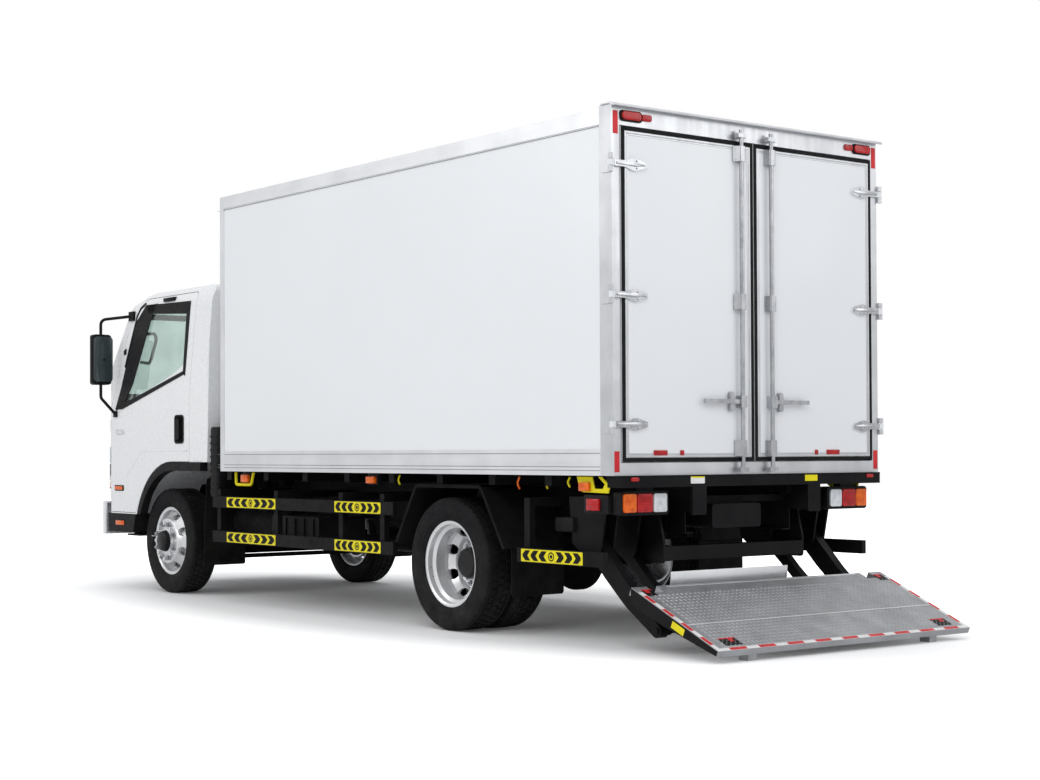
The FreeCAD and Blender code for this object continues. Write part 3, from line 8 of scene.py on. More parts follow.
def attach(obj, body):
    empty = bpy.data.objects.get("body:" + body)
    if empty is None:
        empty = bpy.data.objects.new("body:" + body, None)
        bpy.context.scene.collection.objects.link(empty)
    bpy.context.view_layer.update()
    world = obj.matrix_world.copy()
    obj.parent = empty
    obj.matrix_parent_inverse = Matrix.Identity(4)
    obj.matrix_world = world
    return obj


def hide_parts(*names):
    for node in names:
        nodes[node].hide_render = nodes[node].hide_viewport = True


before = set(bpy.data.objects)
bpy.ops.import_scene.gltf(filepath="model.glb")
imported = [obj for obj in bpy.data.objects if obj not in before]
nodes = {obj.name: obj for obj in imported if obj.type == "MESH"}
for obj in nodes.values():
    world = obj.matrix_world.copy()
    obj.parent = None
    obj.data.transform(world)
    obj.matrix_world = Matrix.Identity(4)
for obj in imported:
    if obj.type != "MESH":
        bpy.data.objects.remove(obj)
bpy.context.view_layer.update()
print("model loaded:", len(nodes), "nodes")

# Stations along the truck, in metres from the middle of its length
rearX = -1.35636
frontX = rearX + 3.815
wheelZ = 0.4055
boxRearX = rearX - 1.565
boxFrontX = boxRearX + 4.375
boxHalfWidth = 1.06
boxFloorZ = 0.953
boxTopZ = 2.949
doorFaceX = boxRearX - 0.006

# Camera at the photograph's viewpoint
view = {"place": (-10.2418, 7.4631, 1.0831), "yaw": -37.04, "pitch": 0.912, "roll": -0.244,
        "focalPixels": 1805.9, "frameWidth": 1040, "centreX": -36.6, "centreY": 33.5}


def placeCamera():
    data = bpy.data.cameras.new("photoCamera")
    cam = bpy.data.objects.new("photoCamera", data)
    bpy.context.scene.collection.objects.link(cam)
    yaw, pitch, roll = (math.radians(view[key]) for key in ("yaw", "pitch", "roll"))
    ahead = Vector((math.cos(yaw) * math.cos(pitch), math.sin(yaw) * math.cos(pitch), math.sin(pitch)))
    right = Vector((math.sin(yaw), -math.cos(yaw), 0))
    up = right.cross(ahead)
    turnedRight = right * math.cos(roll) + up * math.sin(roll)
    turnedUp = up * math.cos(roll) - right * math.sin(roll)
    place = Matrix((turnedRight, turnedUp, -ahead)).transposed().to_4x4()
    place.translation = Vector(view["place"])
    cam.matrix_world = place
    data.sensor_width = 36
    data.lens = view["focalPixels"] * data.sensor_width / view["frameWidth"]
    data.shift_x = -view["centreX"] / view["frameWidth"]
    data.shift_y = view["centreY"] / view["frameWidth"]
    data.clip_end = 100
    bpy.context.scene.camera = cam


placeCamera()
print("camera placed")


# Shader node groups: effects that several materials share
def startGroup(name, inputs, outputs):
    group = bpy.data.node_groups.new(name, "ShaderNodeTree")
    for label, kind, value in inputs:
        socket = group.interface.new_socket(label, in_out="INPUT", socket_type=kind)
        socket.default_value = value
    for label, kind in outputs:
        group.interface.new_socket(label, in_out="OUTPUT", socket_type=kind)
    tree = group.nodes
    return group, tree.new("NodeGroupInput"), tree.new("NodeGroupOutput")


def objectNoise(group, scaleFrom=None, scale=5.0, detail=3.0, stretch=None):
    coords = group.nodes.new("ShaderNodeTexCoord")
    noise = group.nodes.new("ShaderNodeTexNoise")
    noise.inputs["Scale"].default_value = scale
    noise.inputs["Detail"].default_value = detail
    source = coords.outputs["Object"]
    if stretch is not None:
        mapping = group.nodes.new("ShaderNodeMapping")
        group.links.new(source, mapping.inputs["Vector"])
        if isinstance(stretch, tuple):
            mapping.inputs["Scale"].default_value = stretch
        else:
            group.links.new(stretch, mapping.inputs["Scale"])
        source = mapping.outputs["Vector"]
    group.links.new(source, noise.inputs["Vector"])
    if scaleFrom is not None:
        group.links.new(scaleFrom, noise.inputs["Scale"])
    return noise


def mathNode(group, kind, first, second):
    node = group.nodes.new("ShaderNodeMath")
    node.operation = kind
    for index, value in enumerate((first, second)):
        if isinstance(value, (int, float)):
            node.inputs[index].default_value = value
        else:
            group.links.new(value, node.inputs[index])
    return node.outputs[0]


def makeShadeGroup():
    # two close shades drift over a surface
    group, given, out = startGroup("shadeDrift", [
        ("Light", "NodeSocketColor", (1, 1, 1, 1)), ("Dark", "NodeSocketColor", (0.8, 0.8, 0.8, 1)),
        ("Scale", "NodeSocketFloat", 3.0)], [("Color", "NodeSocketColor"), ("Mask", "NodeSocketFloat")])
    noise = objectNoise(group, given.outputs["Scale"], detail=5.0)
    mix = group.nodes.new("ShaderNodeMix")
    mix.data_type = "RGBA"
    spread = group.nodes.new("ShaderNodeMapRange")
    spread.inputs["From Min"].default_value = 0.35
    spread.inputs["From Max"].default_value = 0.68
    group.links.new(noise.outputs["Fac"], spread.inputs["Value"])
    group.links.new(spread.outputs["Result"], mix.inputs["Factor"])
    group.links.new(given.outputs["Light"], mix.inputs["A"])
    group.links.new(given.outputs["Dark"], mix.inputs["B"])
    group.links.new(mix.outputs["Result"], out.inputs["Color"])
    group.links.new(spread.outputs["Result"], out.inputs["Mask"])
    return group


def makeDustGroup():
    # road dust thickens towards the ground
    group, given, out = startGroup("roadDust", [
        ("Color", "NodeSocketColor", (1, 1, 1, 1)), ("Dust", "NodeSocketColor", (0.3, 0.28, 0.25, 1)),
        ("Top", "NodeSocketFloat", 1.2), ("Amount", "NodeSocketFloat", 0.3)],
        [("Color", "NodeSocketColor"), ("Mask", "NodeSocketFloat")])
    coords = group.nodes.new("ShaderNodeTexCoord")
    split = group.nodes.new("ShaderNodeSeparateXYZ")
    group.links.new(coords.outputs["Object"], split.inputs["Vector"])
    low = group.nodes.new("ShaderNodeMapRange")
    group.links.new(split.outputs["Z"], low.inputs["Value"])
    group.links.new(given.outputs["Top"], low.inputs["From Max"])
    low.inputs["To Min"].default_value = 1.0
    low.inputs["To Max"].default_value = 0.0
    noise = objectNoise(group, scale=9.0, detail=6.0)
    patches = group.nodes.new("ShaderNodeMapRange")
    patches.inputs["From Min"].default_value = 0.3
    patches.inputs["From Max"].default_value = 0.75
    group.links.new(noise.outputs["Fac"], patches.inputs["Value"])
    mask = mathNode(group, "MULTIPLY", low.outputs["Result"], patches.outputs["Result"])
    mask = mathNode(group, "MULTIPLY", mask, given.outputs["Amount"])
    mix = group.nodes.new("ShaderNodeMix")
    mix.data_type = "RGBA"
    group.links.new(mask, mix.inputs["Factor"])
    group.links.new(given.outputs["Color"], mix.inputs["A"])
    group.links.new(given.outputs["Dust"], mix.inputs["B"])
    group.links.new(mix.outputs["Result"], out.inputs["Color"])
    group.links.new(mask, out.inputs["Mask"])
    return group


def makeGrainGroup():
    # fine surface relief: moulded grain, cast skin or paint ripple
    group, given, out = startGroup("surfaceGrain", [
        ("Scale", "NodeSocketFloat", 300.0), ("Stretch", "NodeSocketVector", (1, 1, 1)),
        ("Strength", "NodeSocketFloat", 0.2), ("Depth", "NodeSocketFloat", 0.001)],
        [("Normal", "NodeSocketVector"), ("Height", "NodeSocketFloat")])
    noise = objectNoise(group, given.outputs["Scale"], detail=2.0, stretch=given.outputs["Stretch"])
    bump = group.nodes.new("ShaderNodeBump")
    group.links.new(noise.outputs["Fac"], bump.inputs["Height"])
    group.links.new(given.outputs["Strength"], bump.inputs["Strength"])
    group.links.new(given.outputs["Depth"], bump.inputs["Distance"])
    group.links.new(bump.outputs["Normal"], out.inputs["Normal"])
    group.links.new(noise.outputs["Fac"], out.inputs["Height"])
    return group


def makeRoughnessGroup():
    # roughness wanders between two values, with brushed or smeared marks
    group, given, out = startGroup("roughnessDrift", [
        ("Smooth", "NodeSocketFloat", 0.3), ("Rough", "NodeSocketFloat", 0.5),
                ("Scale", "NodeSocketFloat", 30.0),
        ("Stretch", "NodeSocketVector", (1, 1, 1))], [("Roughness", "NodeSocketFloat")])
    noise = objectNoise(group, given.outputs["Scale"], detail=4.0, stretch=given.outputs["Stretch"])
    spread = group.nodes.new("ShaderNodeMapRange")
    spread.inputs["From Min"].default_value = 0.3
    spread.inputs["From Max"].default_value = 0.7
    group.links.new(noise.outputs["Fac"], spread.inputs["Value"])
    group.links.new(given.outputs["Smooth"], spread.inputs["To Min"])
    group.links.new(given.outputs["Rough"], spread.inputs["To Max"])
    group.links.new(spread.outputs["Result"], out.inputs["Roughness"])
    return group


groups = {"shade": makeShadeGroup(), "dust": makeDustGroup(), "grain": makeGrainGroup(),
          "rough": makeRoughnessGroup()}
print("shader groups built")


# Finishes: two shades, roughness range, grain (scale, stretch, strength, depth), dust (colour, top, amount)
finishes = {
    "cabPaint": {"light": (0.82, 0.83, 0.84), "dark": (0.79, 0.80, 0.815), "shadeScale": 1.2,
                 "rough": (0.26, 0.285),
                 "grain": (60, (1, 1, 1), 0.02, 0.0005), "coat": 0.12,
                 "dust": ((0.55, 0.53, 0.5), 1.0, 0.06)},
    "boxPanel": {"light": (0.81, 0.825, 0.845), "dark": (0.785, 0.80, 0.82), "shadeScale": 0.7,
                 "rough": (0.3, 0.42),
                 "grain": (60, (1, 1, 1), 0.05, 0.001), "coat": 0.2, "dust": ((0.6, 0.58, 0.55), 1.4, 0.1)},
    "doorPanel": {"light": (0.78, 0.795, 0.815), "dark": (0.75, 0.765, 0.79), "shadeScale": 0.8,
                  "rough": (0.3, 0.42),
                  "grain": (60, (1, 1, 1), 0.05, 0.001), "coat": 0.2, "dust": ((0.6, 0.58, 0.55), 1.5, 0.12)},
    "railAlloy": {"light": (0.76, 0.77, 0.79), "dark": (0.68, 0.69, 0.71), "shadeScale": 4,
                  "rough": (0.3, 0.46),
                  "roughStretch": (0.04, 1, 1), "metal": 0.75, "grain": (260, (0.03, 1, 1), 0.06, 0.0005),
                  "dust": ((0.4, 0.38, 0.35), 1.2, 0.15)},
    "frameAlloy": {"light": (0.6, 0.61, 0.63), "dark": (0.5, 0.51, 0.53), "shadeScale": 5,
                   "rough": (0.28, 0.45),
                   "roughStretch": (1, 1, 0.05), "metal": 0.8, "grain": (260, (1, 1, 0.03), 0.06, 0.0005)},
    "brightSteel": {"light": (0.5, 0.51, 0.53), "dark": (0.36, 0.37, 0.39), "shadeScale": 14,
                    "rough": (0.18, 0.36),
                    "roughStretch": (1, 1, 0.06), "metal": 1.0, "grain": (300, (1, 1, 0.05), 0.08, 0.0003)},
    "wheelAlloy": {"light": (0.76, 0.77, 0.78), "dark": (0.7, 0.71, 0.72), "shadeScale": 8,
                   "rough": (0.27, 0.32),
                   "metal": 0.6, "grain": (380, (1, 1, 1), 0.02, 0.0002),
                   "dust": ((0.3, 0.28, 0.25), 0.6, 0.08)},
    "frameBlack": {"light": (0.009, 0.009, 0.01), "dark": (0.004, 0.004, 0.005), "shadeScale": 4,
                   "rough": (0.35, 0.6),
                   "grain": (240, (1, 1, 1), 0.15, 0.0006), "sheen": 0.07,
                   "dust": ((0.06, 0.055, 0.05), 1.0, 0.12)},
    "liftBlack": {"light": (0.008, 0.008, 0.009), "dark": (0.004, 0.004, 0.005), "shadeScale": 6,
                  "rough": (0.28, 0.5),
                  "grain": (320, (1, 1, 1), 0.1, 0.0005), "sheen": 0.09,
                  "dust": ((0.06, 0.055, 0.05), 0.7, 0.12)},
    "trimPlastic": {"light": (0.009, 0.009, 0.01), "dark": (0.005, 0.005, 0.006), "shadeScale": 7,
                    "rough": (0.42, 0.6),
                    "grain": (900, (1, 1, 1), 0.3, 0.0004), "sheen": 0.12,
                    "dust": ((0.06, 0.055, 0.05), 0.9, 0.1)},
    "castIron": {"light": (0.016, 0.015, 0.014), "dark": (0.007, 0.006, 0.006), "shadeScale": 9,
                 "rough": (0.55, 0.8),
                 "metal": 0.3, "grain": (160, (1, 1, 1), 0.5, 0.0012), "sheen": 0.05,
                 "dust": ((0.06, 0.05, 0.04), 0.9, 0.2)},
    "exhaustSteel": {"light": (0.1, 0.095, 0.09), "dark": (0.05, 0.045, 0.04), "shadeScale": 7,
                     "rough": (0.35, 0.6),
                     "metal": 0.85, "grain": (200, (1, 1, 1), 0.25, 0.0006)},
    "tyreRubber": {"light": (0.011, 0.011, 0.012), "dark": (0.006, 0.006, 0.007), "shadeScale": 11,
                   "rough": (0.6, 0.82),
                   "grain": (500, (1, 1, 1), 0.3, 0.0005), "sheen": 0.1,
                   "dust": ((0.1, 0.095, 0.085), 0.7, 0.22)},
    "flapRubber": {"light": (0.008, 0.008, 0.008), "dark": (0.004, 0.004, 0.004), "shadeScale": 6,
                   "rough": (0.5, 0.75),
                   "grain": (420, (1, 1, 1), 0.25, 0.0006), "sheen": 0.05,
                   "dust": ((0.1, 0.095, 0.085), 0.9, 0.18)},
    "seatCloth": {"light": (0.1, 0.11, 0.125), "dark": (0.06, 0.066, 0.075), "shadeScale": 40,
                  "rough": (0.85, 0.95),
                  "grain": (1400, (1, 1, 1), 0.6, 0.0008)},
    "deckAlloy": {"light": (0.42, 0.43, 0.45), "dark": (0.33, 0.34, 0.36), "shadeScale": 6,
                  "rough": (0.34, 0.55),
                  "metal": 0.7, "grain": (300, (1, 1, 1), 0.15, 0.0005),
                  "dust": ((0.25, 0.24, 0.22), 0.6, 0.3)},
    "doorSeal": {"light": (0.011, 0.011, 0.012), "dark": (0.006, 0.006, 0.007), "shadeScale": 10,
                 "rough": (0.55, 0.75),
                 "grain": (600, (1, 1, 1), 0.2, 0.0004), "sheen": 0.1},
    "redLens": {"light": (0.5, 0.008, 0.01), "dark": (0.3, 0.004, 0.006), "shadeScale": 30,
                "rough": (0.08, 0.16),
                "grain": (500, (1, 1, 1), 0.12, 0.0006), "coat": 0.15, "sheen": 0.3},
    "amberLens": {"light": (0.85, 0.16, 0.008), "dark": (0.62, 0.08, 0.005), "shadeScale": 30,
                  "rough": (0.08, 0.16),
                  "grain": (500, (1, 1, 1), 0.12, 0.0006), "coat": 0.15, "sheen": 0.3},
    "clearLens": {"light": (0.75, 0.77, 0.8), "dark": (0.55, 0.57, 0.6), "shadeScale": 30,
                  "rough": (0.06, 0.14),
                  "grain": (500, (1, 1, 1), 0.12, 0.0006), "coat": 0.15, "sheen": 0.3},
    "reflectYellow": {"light": (0.82, 0.72, 0.015), "dark": (0.74, 0.62, 0.01), "shadeScale": 9,
                      "rough": (0.3, 0.45),
                      "grain": (900, (1, 1, 1), 0.15, 0.0003), "dust": ((0.4, 0.36, 0.25), 0.9, 0.15),
                      "sheen": 0.12},
    "reflectRed": {"light": (0.66, 0.03, 0.035), "dark": (0.5, 0.02, 0.025), "shadeScale": 14,
                   "rough": (0.3, 0.45),
                   "grain": (900, (1, 1, 1), 0.15, 0.0003), "sheen": 0.2},
    "reflectWhite": {"light": (0.8, 0.8, 0.8), "dark": (0.7, 0.7, 0.7), "shadeScale": 14,
                     "rough": (0.3, 0.45),
                     "grain": (900, (1, 1, 1), 0.15, 0.0003)},
    "markBlack": {"light": (0.012, 0.012, 0.012), "dark": (0.008, 0.008, 0.008), "shadeScale": 14,
                  "rough": (0.4, 0.5),
                  "grain": (900, (1, 1, 1), 0.1, 0.0003), "sheen": 0.08},
    # painted shade: a dull near-black finish laid in openings and recesses in place of the shade inside them
    "cavityShadeBlack": {"light": (0.008, 0.008, 0.009), "dark": (0.004, 0.004, 0.005), "shadeScale": 14,
                   "rough": (0.7, 0.85),
                   "grain": (400, (1, 1, 1), 0.2, 0.0005), "sheen": 0.02},
    "mirrorGlass": {"light": (0.05, 0.065, 0.07), "dark": (0.035, 0.048, 0.052), "shadeScale": 2,
                    "rough": (0.03, 0.07),
                    "metal": 0.2, "grain": (40, (1, 1, 1), 0.01, 0.0002)},
    "chrome": {"light": (0.72, 0.73, 0.74), "dark": (0.62, 0.63, 0.64), "shadeScale": 9,
               "rough": (0.06, 0.14),
               "metal": 1.0, "grain": (300, (1, 1, 1), 0.03, 0.0002)},
    # painted shade for the rail grooves: a dark alloy for strips laid in them
    "grooveShade": {"light": (0.24, 0.245, 0.25), "dark": (0.18, 0.185, 0.19), "shadeScale": 5,
                   "rough": (0.4, 0.5), "metal": 0.6,
                   "grain": (300, (0.05, 1, 1), 0.05, 0.0003)},
    "capBlack": {"light": (0.012, 0.012, 0.013), "dark": (0.007, 0.007, 0.008), "shadeScale": 9,
                 "rough": (0.25, 0.4),
                 "grain": (700, (1, 1, 1), 0.1, 0.0003), "sheen": 0.2},
}


def startMaterial(name):
    material = bpy.data.materials.new(name)
    material.use_nodes = True
    return material, material.node_tree, material.node_tree.nodes["Principled BSDF"]


def useGroup(tree, key, **values):
    node = tree.nodes.new("ShaderNodeGroup")
    node.node_tree = groups[key]
    for label, value in values.items():
        node.inputs[label].default_value = value
    return node


def makeFinish(name, given):
    material, tree, shader = startMaterial(name)
    shade = useGroup(tree, "shade", Light=(*given["light"], 1), Dark=(*given["dark"], 1),
                     Scale=given["shadeScale"])
    colour = shade.outputs["Color"]
    if "dust" in given:
        dustColour, top, amount = given["dust"]
        dust = useGroup(tree, "dust", Dust=(*dustColour, 1), Top=top, Amount=amount)
        tree.links.new(colour, dust.inputs["Color"])
        colour = dust.outputs["Color"]
    tree.links.new(colour, shader.inputs["Base Color"])
    smoothest, roughest = given["rough"]
    rough = useGroup(tree, "rough", Smooth=smoothest, Rough=roughest,
                     Stretch=given.get("roughStretch", (1, 1, 1)))
    tree.links.new(rough.outputs["Roughness"], shader.inputs["Roughness"])
    scale, stretch, strength, depth = given["grain"]
    grain = useGroup(tree, "grain", Scale=scale, Stretch=stretch, Strength=strength, Depth=depth)
    tree.links.new(grain.outputs["Normal"], shader.inputs["Normal"])
    shader.inputs["Metallic"].default_value = given.get("metal", 0.0)
    shader.inputs["Specular IOR Level"].default_value = given.get("sheen", 0.5)
    if "coat" in given:
        shader.inputs["Coat Weight"].default_value = given["coat"]
        shader.inputs["Coat Roughness"].default_value = 0.08
    return material


materials = {name: makeFinish(name, given) for name, given in finishes.items()}
glassTint = {"colour": (0.75, 0.87, 0.83), "rough": 0.02, "clear": 0.94}


def makeGlass():
    # green safety glass, part see-through so that the seats show behind it
    material, tree, shader = startMaterial("windowGlass")
    tint = glassTint["colour"]
    shade = useGroup(tree, "shade", Light=(*tint, 1), Dark=(*(value * 0.85 for value in tint), 1))
    tree.links.new(shade.outputs["Color"], shader.inputs["Base Color"])
    for label, value in (("Roughness", glassTint["rough"]), ("Transmission Weight", glassTint["clear"]),
                         ("IOR", 1.45)):
        shader.inputs[label].default_value = value
    return material


materials["windowGlass"] = makeGlass()

nodeFinish = {
    "ladder_frame": "frameBlack", "front_axle": "castIron", "rear_axle": "castIron",
              "leaf_springs": "castIron",
    "engine_block": "castIron", "propeller_shaft": "castIron", "silencer": "exhaustSteel",
              "battery_box": "trimPlastic",
    "fuel_tank": "frameBlack", "front_bumper": "cabPaint", "side_guards": "frameBlack",
              "mudguards": "flapRubber",
    "body_subframe": "frameBlack", "box_floor": "railAlloy", "box_side_left": "boxPanel",
              "box_side_right": "boxPanel",
    "box_front_wall": "boxPanel", "box_roof": "boxPanel", "box_rails": "railAlloy",
              "rear_frame": "frameAlloy",
    "refrigeration_unit": "cabPaint", "rear_bar": "frameBlack", "tail_lamps": "redLens",
              "marker_lamps": "amberLens",
    "lift_frame": "liftBlack", "power_unit": "liftBlack", "air_intake": "trimPlastic",
              "cab_shell": "cabPaint",
    "cab_glass": "windowGlass", "cab_trim": "trimPlastic", "head_lamps": "clearLens", "seats": "seatCloth",
    "dashboard": "trimPlastic", "door_left": "cabPaint", "door_right": "cabPaint",
              "door_glass_left": "windowGlass",
    "door_glass_right": "windowGlass", "mirror_left": "trimPlastic", "mirror_right": "trimPlastic",
    "steering_wheel": "trimPlastic", "cargo_door_left": "doorPanel", "cargo_door_right": "doorPanel",
    "lock_gear_left": "brightSteel", "lock_gear_right": "brightSteel", "knuckle_left": "castIron",
    "knuckle_right": "castIron", "tie_rod": "castIron", "tyre_front_left": "tyreRubber",
              "tyre_front_right": "tyreRubber",
    "tyres_rear_left": "tyreRubber", "tyres_rear_right": "tyreRubber", "wheel_front_left": "wheelAlloy",
    "wheel_front_right": "wheelAlloy", "wheels_rear_left": "wheelAlloy", "wheels_rear_right": "wheelAlloy",
    "lift_arms": "liftBlack", "lift_links": "liftBlack", "lift_carriage": "liftBlack",
              "lift_platform": "deckAlloy",
}
for nodeName, finishName in nodeFinish.items():
    nodes[nodeName].data.materials.clear()
    nodes[nodeName].data.materials.append(materials[finishName])
print("finishes made:", len(materials))

# Floor, sky and lamps
studio = {"floorColour": (0.9, 0.9, 0.9), "skyStrength": 0.5, "glossStrength": 0.62, "floorSize": 60,
          "floorGlow": 0.04, "floorOval": (0.4, 0.95, 1),
          "lamps": [("keyLamp", (-9, 9, 9), 560, 7), ("sideLamp", (6, 12, 8), 380, 8),
                    ("rearLamp", (-12, -6, 7), 330, 8),
                    ("topLamp", (0, 0, 12), 380, 9)]}


def buildStudio():
    world = bpy.data.worlds.new("studioSky")
    bpy.context.scene.world = world
    world.use_nodes = True
    tree = world.node_tree
    plain = tree.nodes["Background"]
    plain.inputs["Color"].default_value = (0.95, 0.97, 1.0, 1)
    plain.inputs["Strength"].default_value = studio["skyStrength"]
    backdrop = tree.nodes.new("ShaderNodeBackground")
    backdrop.inputs["Color"].default_value = (1, 1, 1, 1)
    path = tree.nodes.new("ShaderNodeLightPath")
    seen = mathNode(tree, "MAXIMUM", path.outputs["Is Camera Ray"], path.outputs["Is Transmission Ray"])
    sheen = mathNode(tree, "MULTIPLY", path.outputs["Is Glossy Ray"], studio["glossStrength"])
    seen = mathNode(tree, "MAXIMUM", seen, sheen)
    mix = tree.nodes.new("ShaderNodeMixShader")
    tree.links.new(seen, mix.inputs["Fac"])
    tree.links.new(plain.outputs[0], mix.inputs[1])
    tree.links.new(backdrop.outputs[0], mix.inputs[2])
    tree.links.new(mix.outputs[0], tree.nodes["World Output"].inputs["Surface"])
    bpy.ops.object.select_all(action="DESELECT")
    bpy.ops.mesh.primitive_plane_add(size=studio["floorSize"], location=(0, 0, 0))
    floor = bpy.context.object
    floor.name = "studioFloor"
    paper = bpy.data.materials.new("studioPaper")
    paper.use_nodes = True
    paperTree = paper.node_tree
    paperShader = paperTree.nodes["Principled BSDF"]
    paperShader.inputs["Base Color"].default_value = (*studio["floorColour"], 1)
    paperShader.inputs["Roughness"].default_value = 0.9
    # the camera sees the floor lighter, and white away from the truck, so that only the shadow shows
    coords = paperTree.nodes.new("ShaderNodeTexCoord")
    oval = paperTree.nodes.new("ShaderNodeMapping")
    oval.inputs["Scale"].default_value = studio["floorOval"]
    paperTree.links.new(coords.outputs["Object"], oval.inputs["Vector"])
    reach = paperTree.nodes.new("ShaderNodeVectorMath")
    reach.operation = "LENGTH"
    paperTree.links.new(oval.outputs["Vector"], reach.inputs[0])
    fade = paperTree.nodes.new("ShaderNodeMapRange")
    for label, value in (("From Min", 1.35), ("From Max", 3.0), ("To Min", studio["floorGlow"]),
                         ("To Max", 1.0)):
        fade.inputs[label].default_value = value
    paperTree.links.new(reach.outputs["Value"], fade.inputs["Value"])
    path = paperTree.nodes.new("ShaderNodeLightPath")
    glow = mathNode(paperTree, "MULTIPLY", fade.outputs["Result"], path.outputs["Is Camera Ray"])
    paperShader.inputs["Emission Color"].default_value = (1, 1, 1, 1)
    paperTree.links.new(glow, paperShader.inputs["Emission Strength"])
    floor.data.materials.append(paper)
    for name, place, power, size in studio["lamps"]:
        lamp = bpy.data.lights.new(name, "AREA")
        lamp.energy = power
        lamp.size = size
        holder = bpy.data.objects.new(name, lamp)
        bpy.context.scene.collection.objects.link(holder)
        holder.location = place
        aim = Vector((0, 0, 1.2)) - Vector(place)
        holder.rotation_euler = aim.to_track_quat("-Z", "Y").to_euler()


buildStudio()
bpy.context.scene.view_settings.view_transform = "Standard"
print("studio built")

# Modelling helpers
def clearSelection():
    active = bpy.context.view_layer.objects.active
    if active and active.mode != "OBJECT":
        bpy.ops.object.mode_set(mode="OBJECT")
    bpy.ops.object.select_all(action="DESELECT")


def pick(obj):
    clearSelection()
    obj.select_set(True)
    bpy.context.view_layer.objects.active = obj


def settle(obj):
    # put the object's place into its mesh
    pick(obj)
    bpy.ops.object.transform_apply(location=True, rotation=True, scale=True)
    return obj


def finishEdges(obj, width, segments=2):
    if width > 0:
        edge = obj.modifiers.new("edges", "BEVEL")
        edge.width = width
        edge.segments = segments
        edge.limit_method = "ANGLE"
        edge.angle_limit = math.radians(35)
        pick(obj)
        bpy.ops.object.modifier_apply(modifier="edges")
    return obj


def smooth(obj, angle=35):
    pick(obj)
    bpy.ops.object.shade_smooth_by_angle(angle=math.radians(angle))
    return obj


def block(name, low, high, edge=0.002, segments=2):
    low, high = Vector(low), Vector(high)
    clearSelection()
    bpy.ops.mesh.primitive_cube_add(size=1, location=(low + high) / 2, scale=high - low)
    obj = bpy.context.object
    obj.name = name
    settle(obj)
    finishEdges(obj, edge, segments)
    return smooth(obj)


def rod(name, start, end, radius, sides=24, edge=0.001):
    start, end = Vector(start), Vector(end)
    clearSelection()
    bpy.ops.mesh.primitive_cylinder_add(vertices=sides, radius=radius, depth=(end - start).length)
    obj = bpy.context.object
    obj.name = name
    obj.rotation_mode = "QUATERNION"
    obj.rotation_quaternion = (end - start).to_track_quat("Z", "Y")
    obj.location = (start + end) / 2
    settle(obj)
    finishEdges(obj, edge, 2)
    return smooth(obj)


def plate(name, outline, push, edge=0.001, segments=2):
    # a flat outline of points, pushed along a vector into a plate
    clearSelection()
    bpy.ops.mesh.primitive_circle_add(vertices=len(outline), radius=1, fill_type="NGON")
    obj = bpy.context.object
    obj.name = name
    for vertex, point in zip(obj.data.vertices, outline):
        vertex.co = point
    bpy.ops.object.mode_set(mode="EDIT")
    bpy.ops.mesh.select_all(action="SELECT")
    bpy.ops.mesh.extrude_region_move(TRANSFORM_OT_translate={"value": push})
    bpy.ops.mesh.select_all(action="SELECT")
    bpy.ops.mesh.normals_make_consistent(inside=False)
    bpy.ops.object.mode_set(mode="OBJECT")
    finishEdges(obj, edge, segments)
    return smooth(obj)


def spunRing(name, profile, steps, centre, axis="Y"):
    # profile of (across, radius) points round a wheel's axis
    clearSelection()
    bpy.ops.mesh.primitive_circle_add(vertices=len(profile), radius=1, fill_type="NOTHING")
    obj = bpy.context.object
    obj.name = name
    for vertex, (across, radius) in zip(obj.data.vertices, profile):
        vertex.co = (0, across, radius) if axis == "Y" else ((across, 0, radius) if axis == "X" else (radius,
                0, across))
    bpy.ops.object.mode_set(mode="EDIT")
    bpy.ops.mesh.select_all(action="SELECT")
    turn = {"X": (1, 0, 0), "Y": (0, 1, 0), "Z": (0, 0, 1)}[axis]
    bpy.ops.mesh.spin(steps=steps, angle=2 * math.pi, center=(0, 0, 0), axis=turn)
    bpy.ops.mesh.select_all(action="SELECT")
    bpy.ops.mesh.remove_doubles(threshold=0.00005)
    bpy.ops.mesh.normals_make_consistent(inside=False)
    bpy.ops.object.mode_set(mode="OBJECT")
    obj.data.transform(Matrix.Translation(centre))
    return smooth(obj)


def roundedOutline(plane, at, u0, u1, v0, v1, radius, steps=4):
    # corner-rounded rectangle as points on a plane across X or across Y
    points = []
    for cu, cv, first in ((u1 - radius, v1 - radius, 0), (u0 + radius, v1 - radius, 90),
                          (u0 + radius, v0 + radius, 180), (u1 - radius, v0 + radius, 270)):
        for step in range(steps + 1):
            angle = math.radians(first + 90 * step / steps)
            u, v = cu + radius * math.cos(angle), cv + radius * math.sin(angle)
            points.append((at, u, v) if plane == "X" else ((u, at, v) if plane == "Y" else (u, v, at)))
    return points


def join(name, parts):
    clearSelection()
    for part in parts:
        part.select_set(True)
    bpy.context.view_layer.objects.active = parts[0]
    if len(parts) > 1:
        bpy.ops.object.join()
    parts[0].name = name
    return parts[0]


def copied(obj, name, move=(0, 0, 0), matrix=None):
    twin = obj.copy()
    twin.data = obj.data.copy()
    twin.name = name
    bpy.context.scene.collection.objects.link(twin)
    twin.data.transform(matrix if matrix is not None else Matrix.Translation(move))
    return twin


def mirroredCopy(obj, name):
    twin = copied(obj, name, matrix=Matrix.Diagonal((1, -1, 1, 1)))
    pick(twin)
    bpy.ops.object.mode_set(mode="EDIT")
    bpy.ops.mesh.select_all(action="SELECT")
    bpy.ops.mesh.flip_normals()
    bpy.ops.object.mode_set(mode="OBJECT")
    return twin


def fit(obj, body, slot, finish, *replaced):
    # give a piece its finish and its body, and hide the model parts it replaces
    obj.data.materials.clear()
    obj.data.materials.append(materials[finish])
    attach(obj, body)
    if replaced:
        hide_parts(*replaced)
    return obj


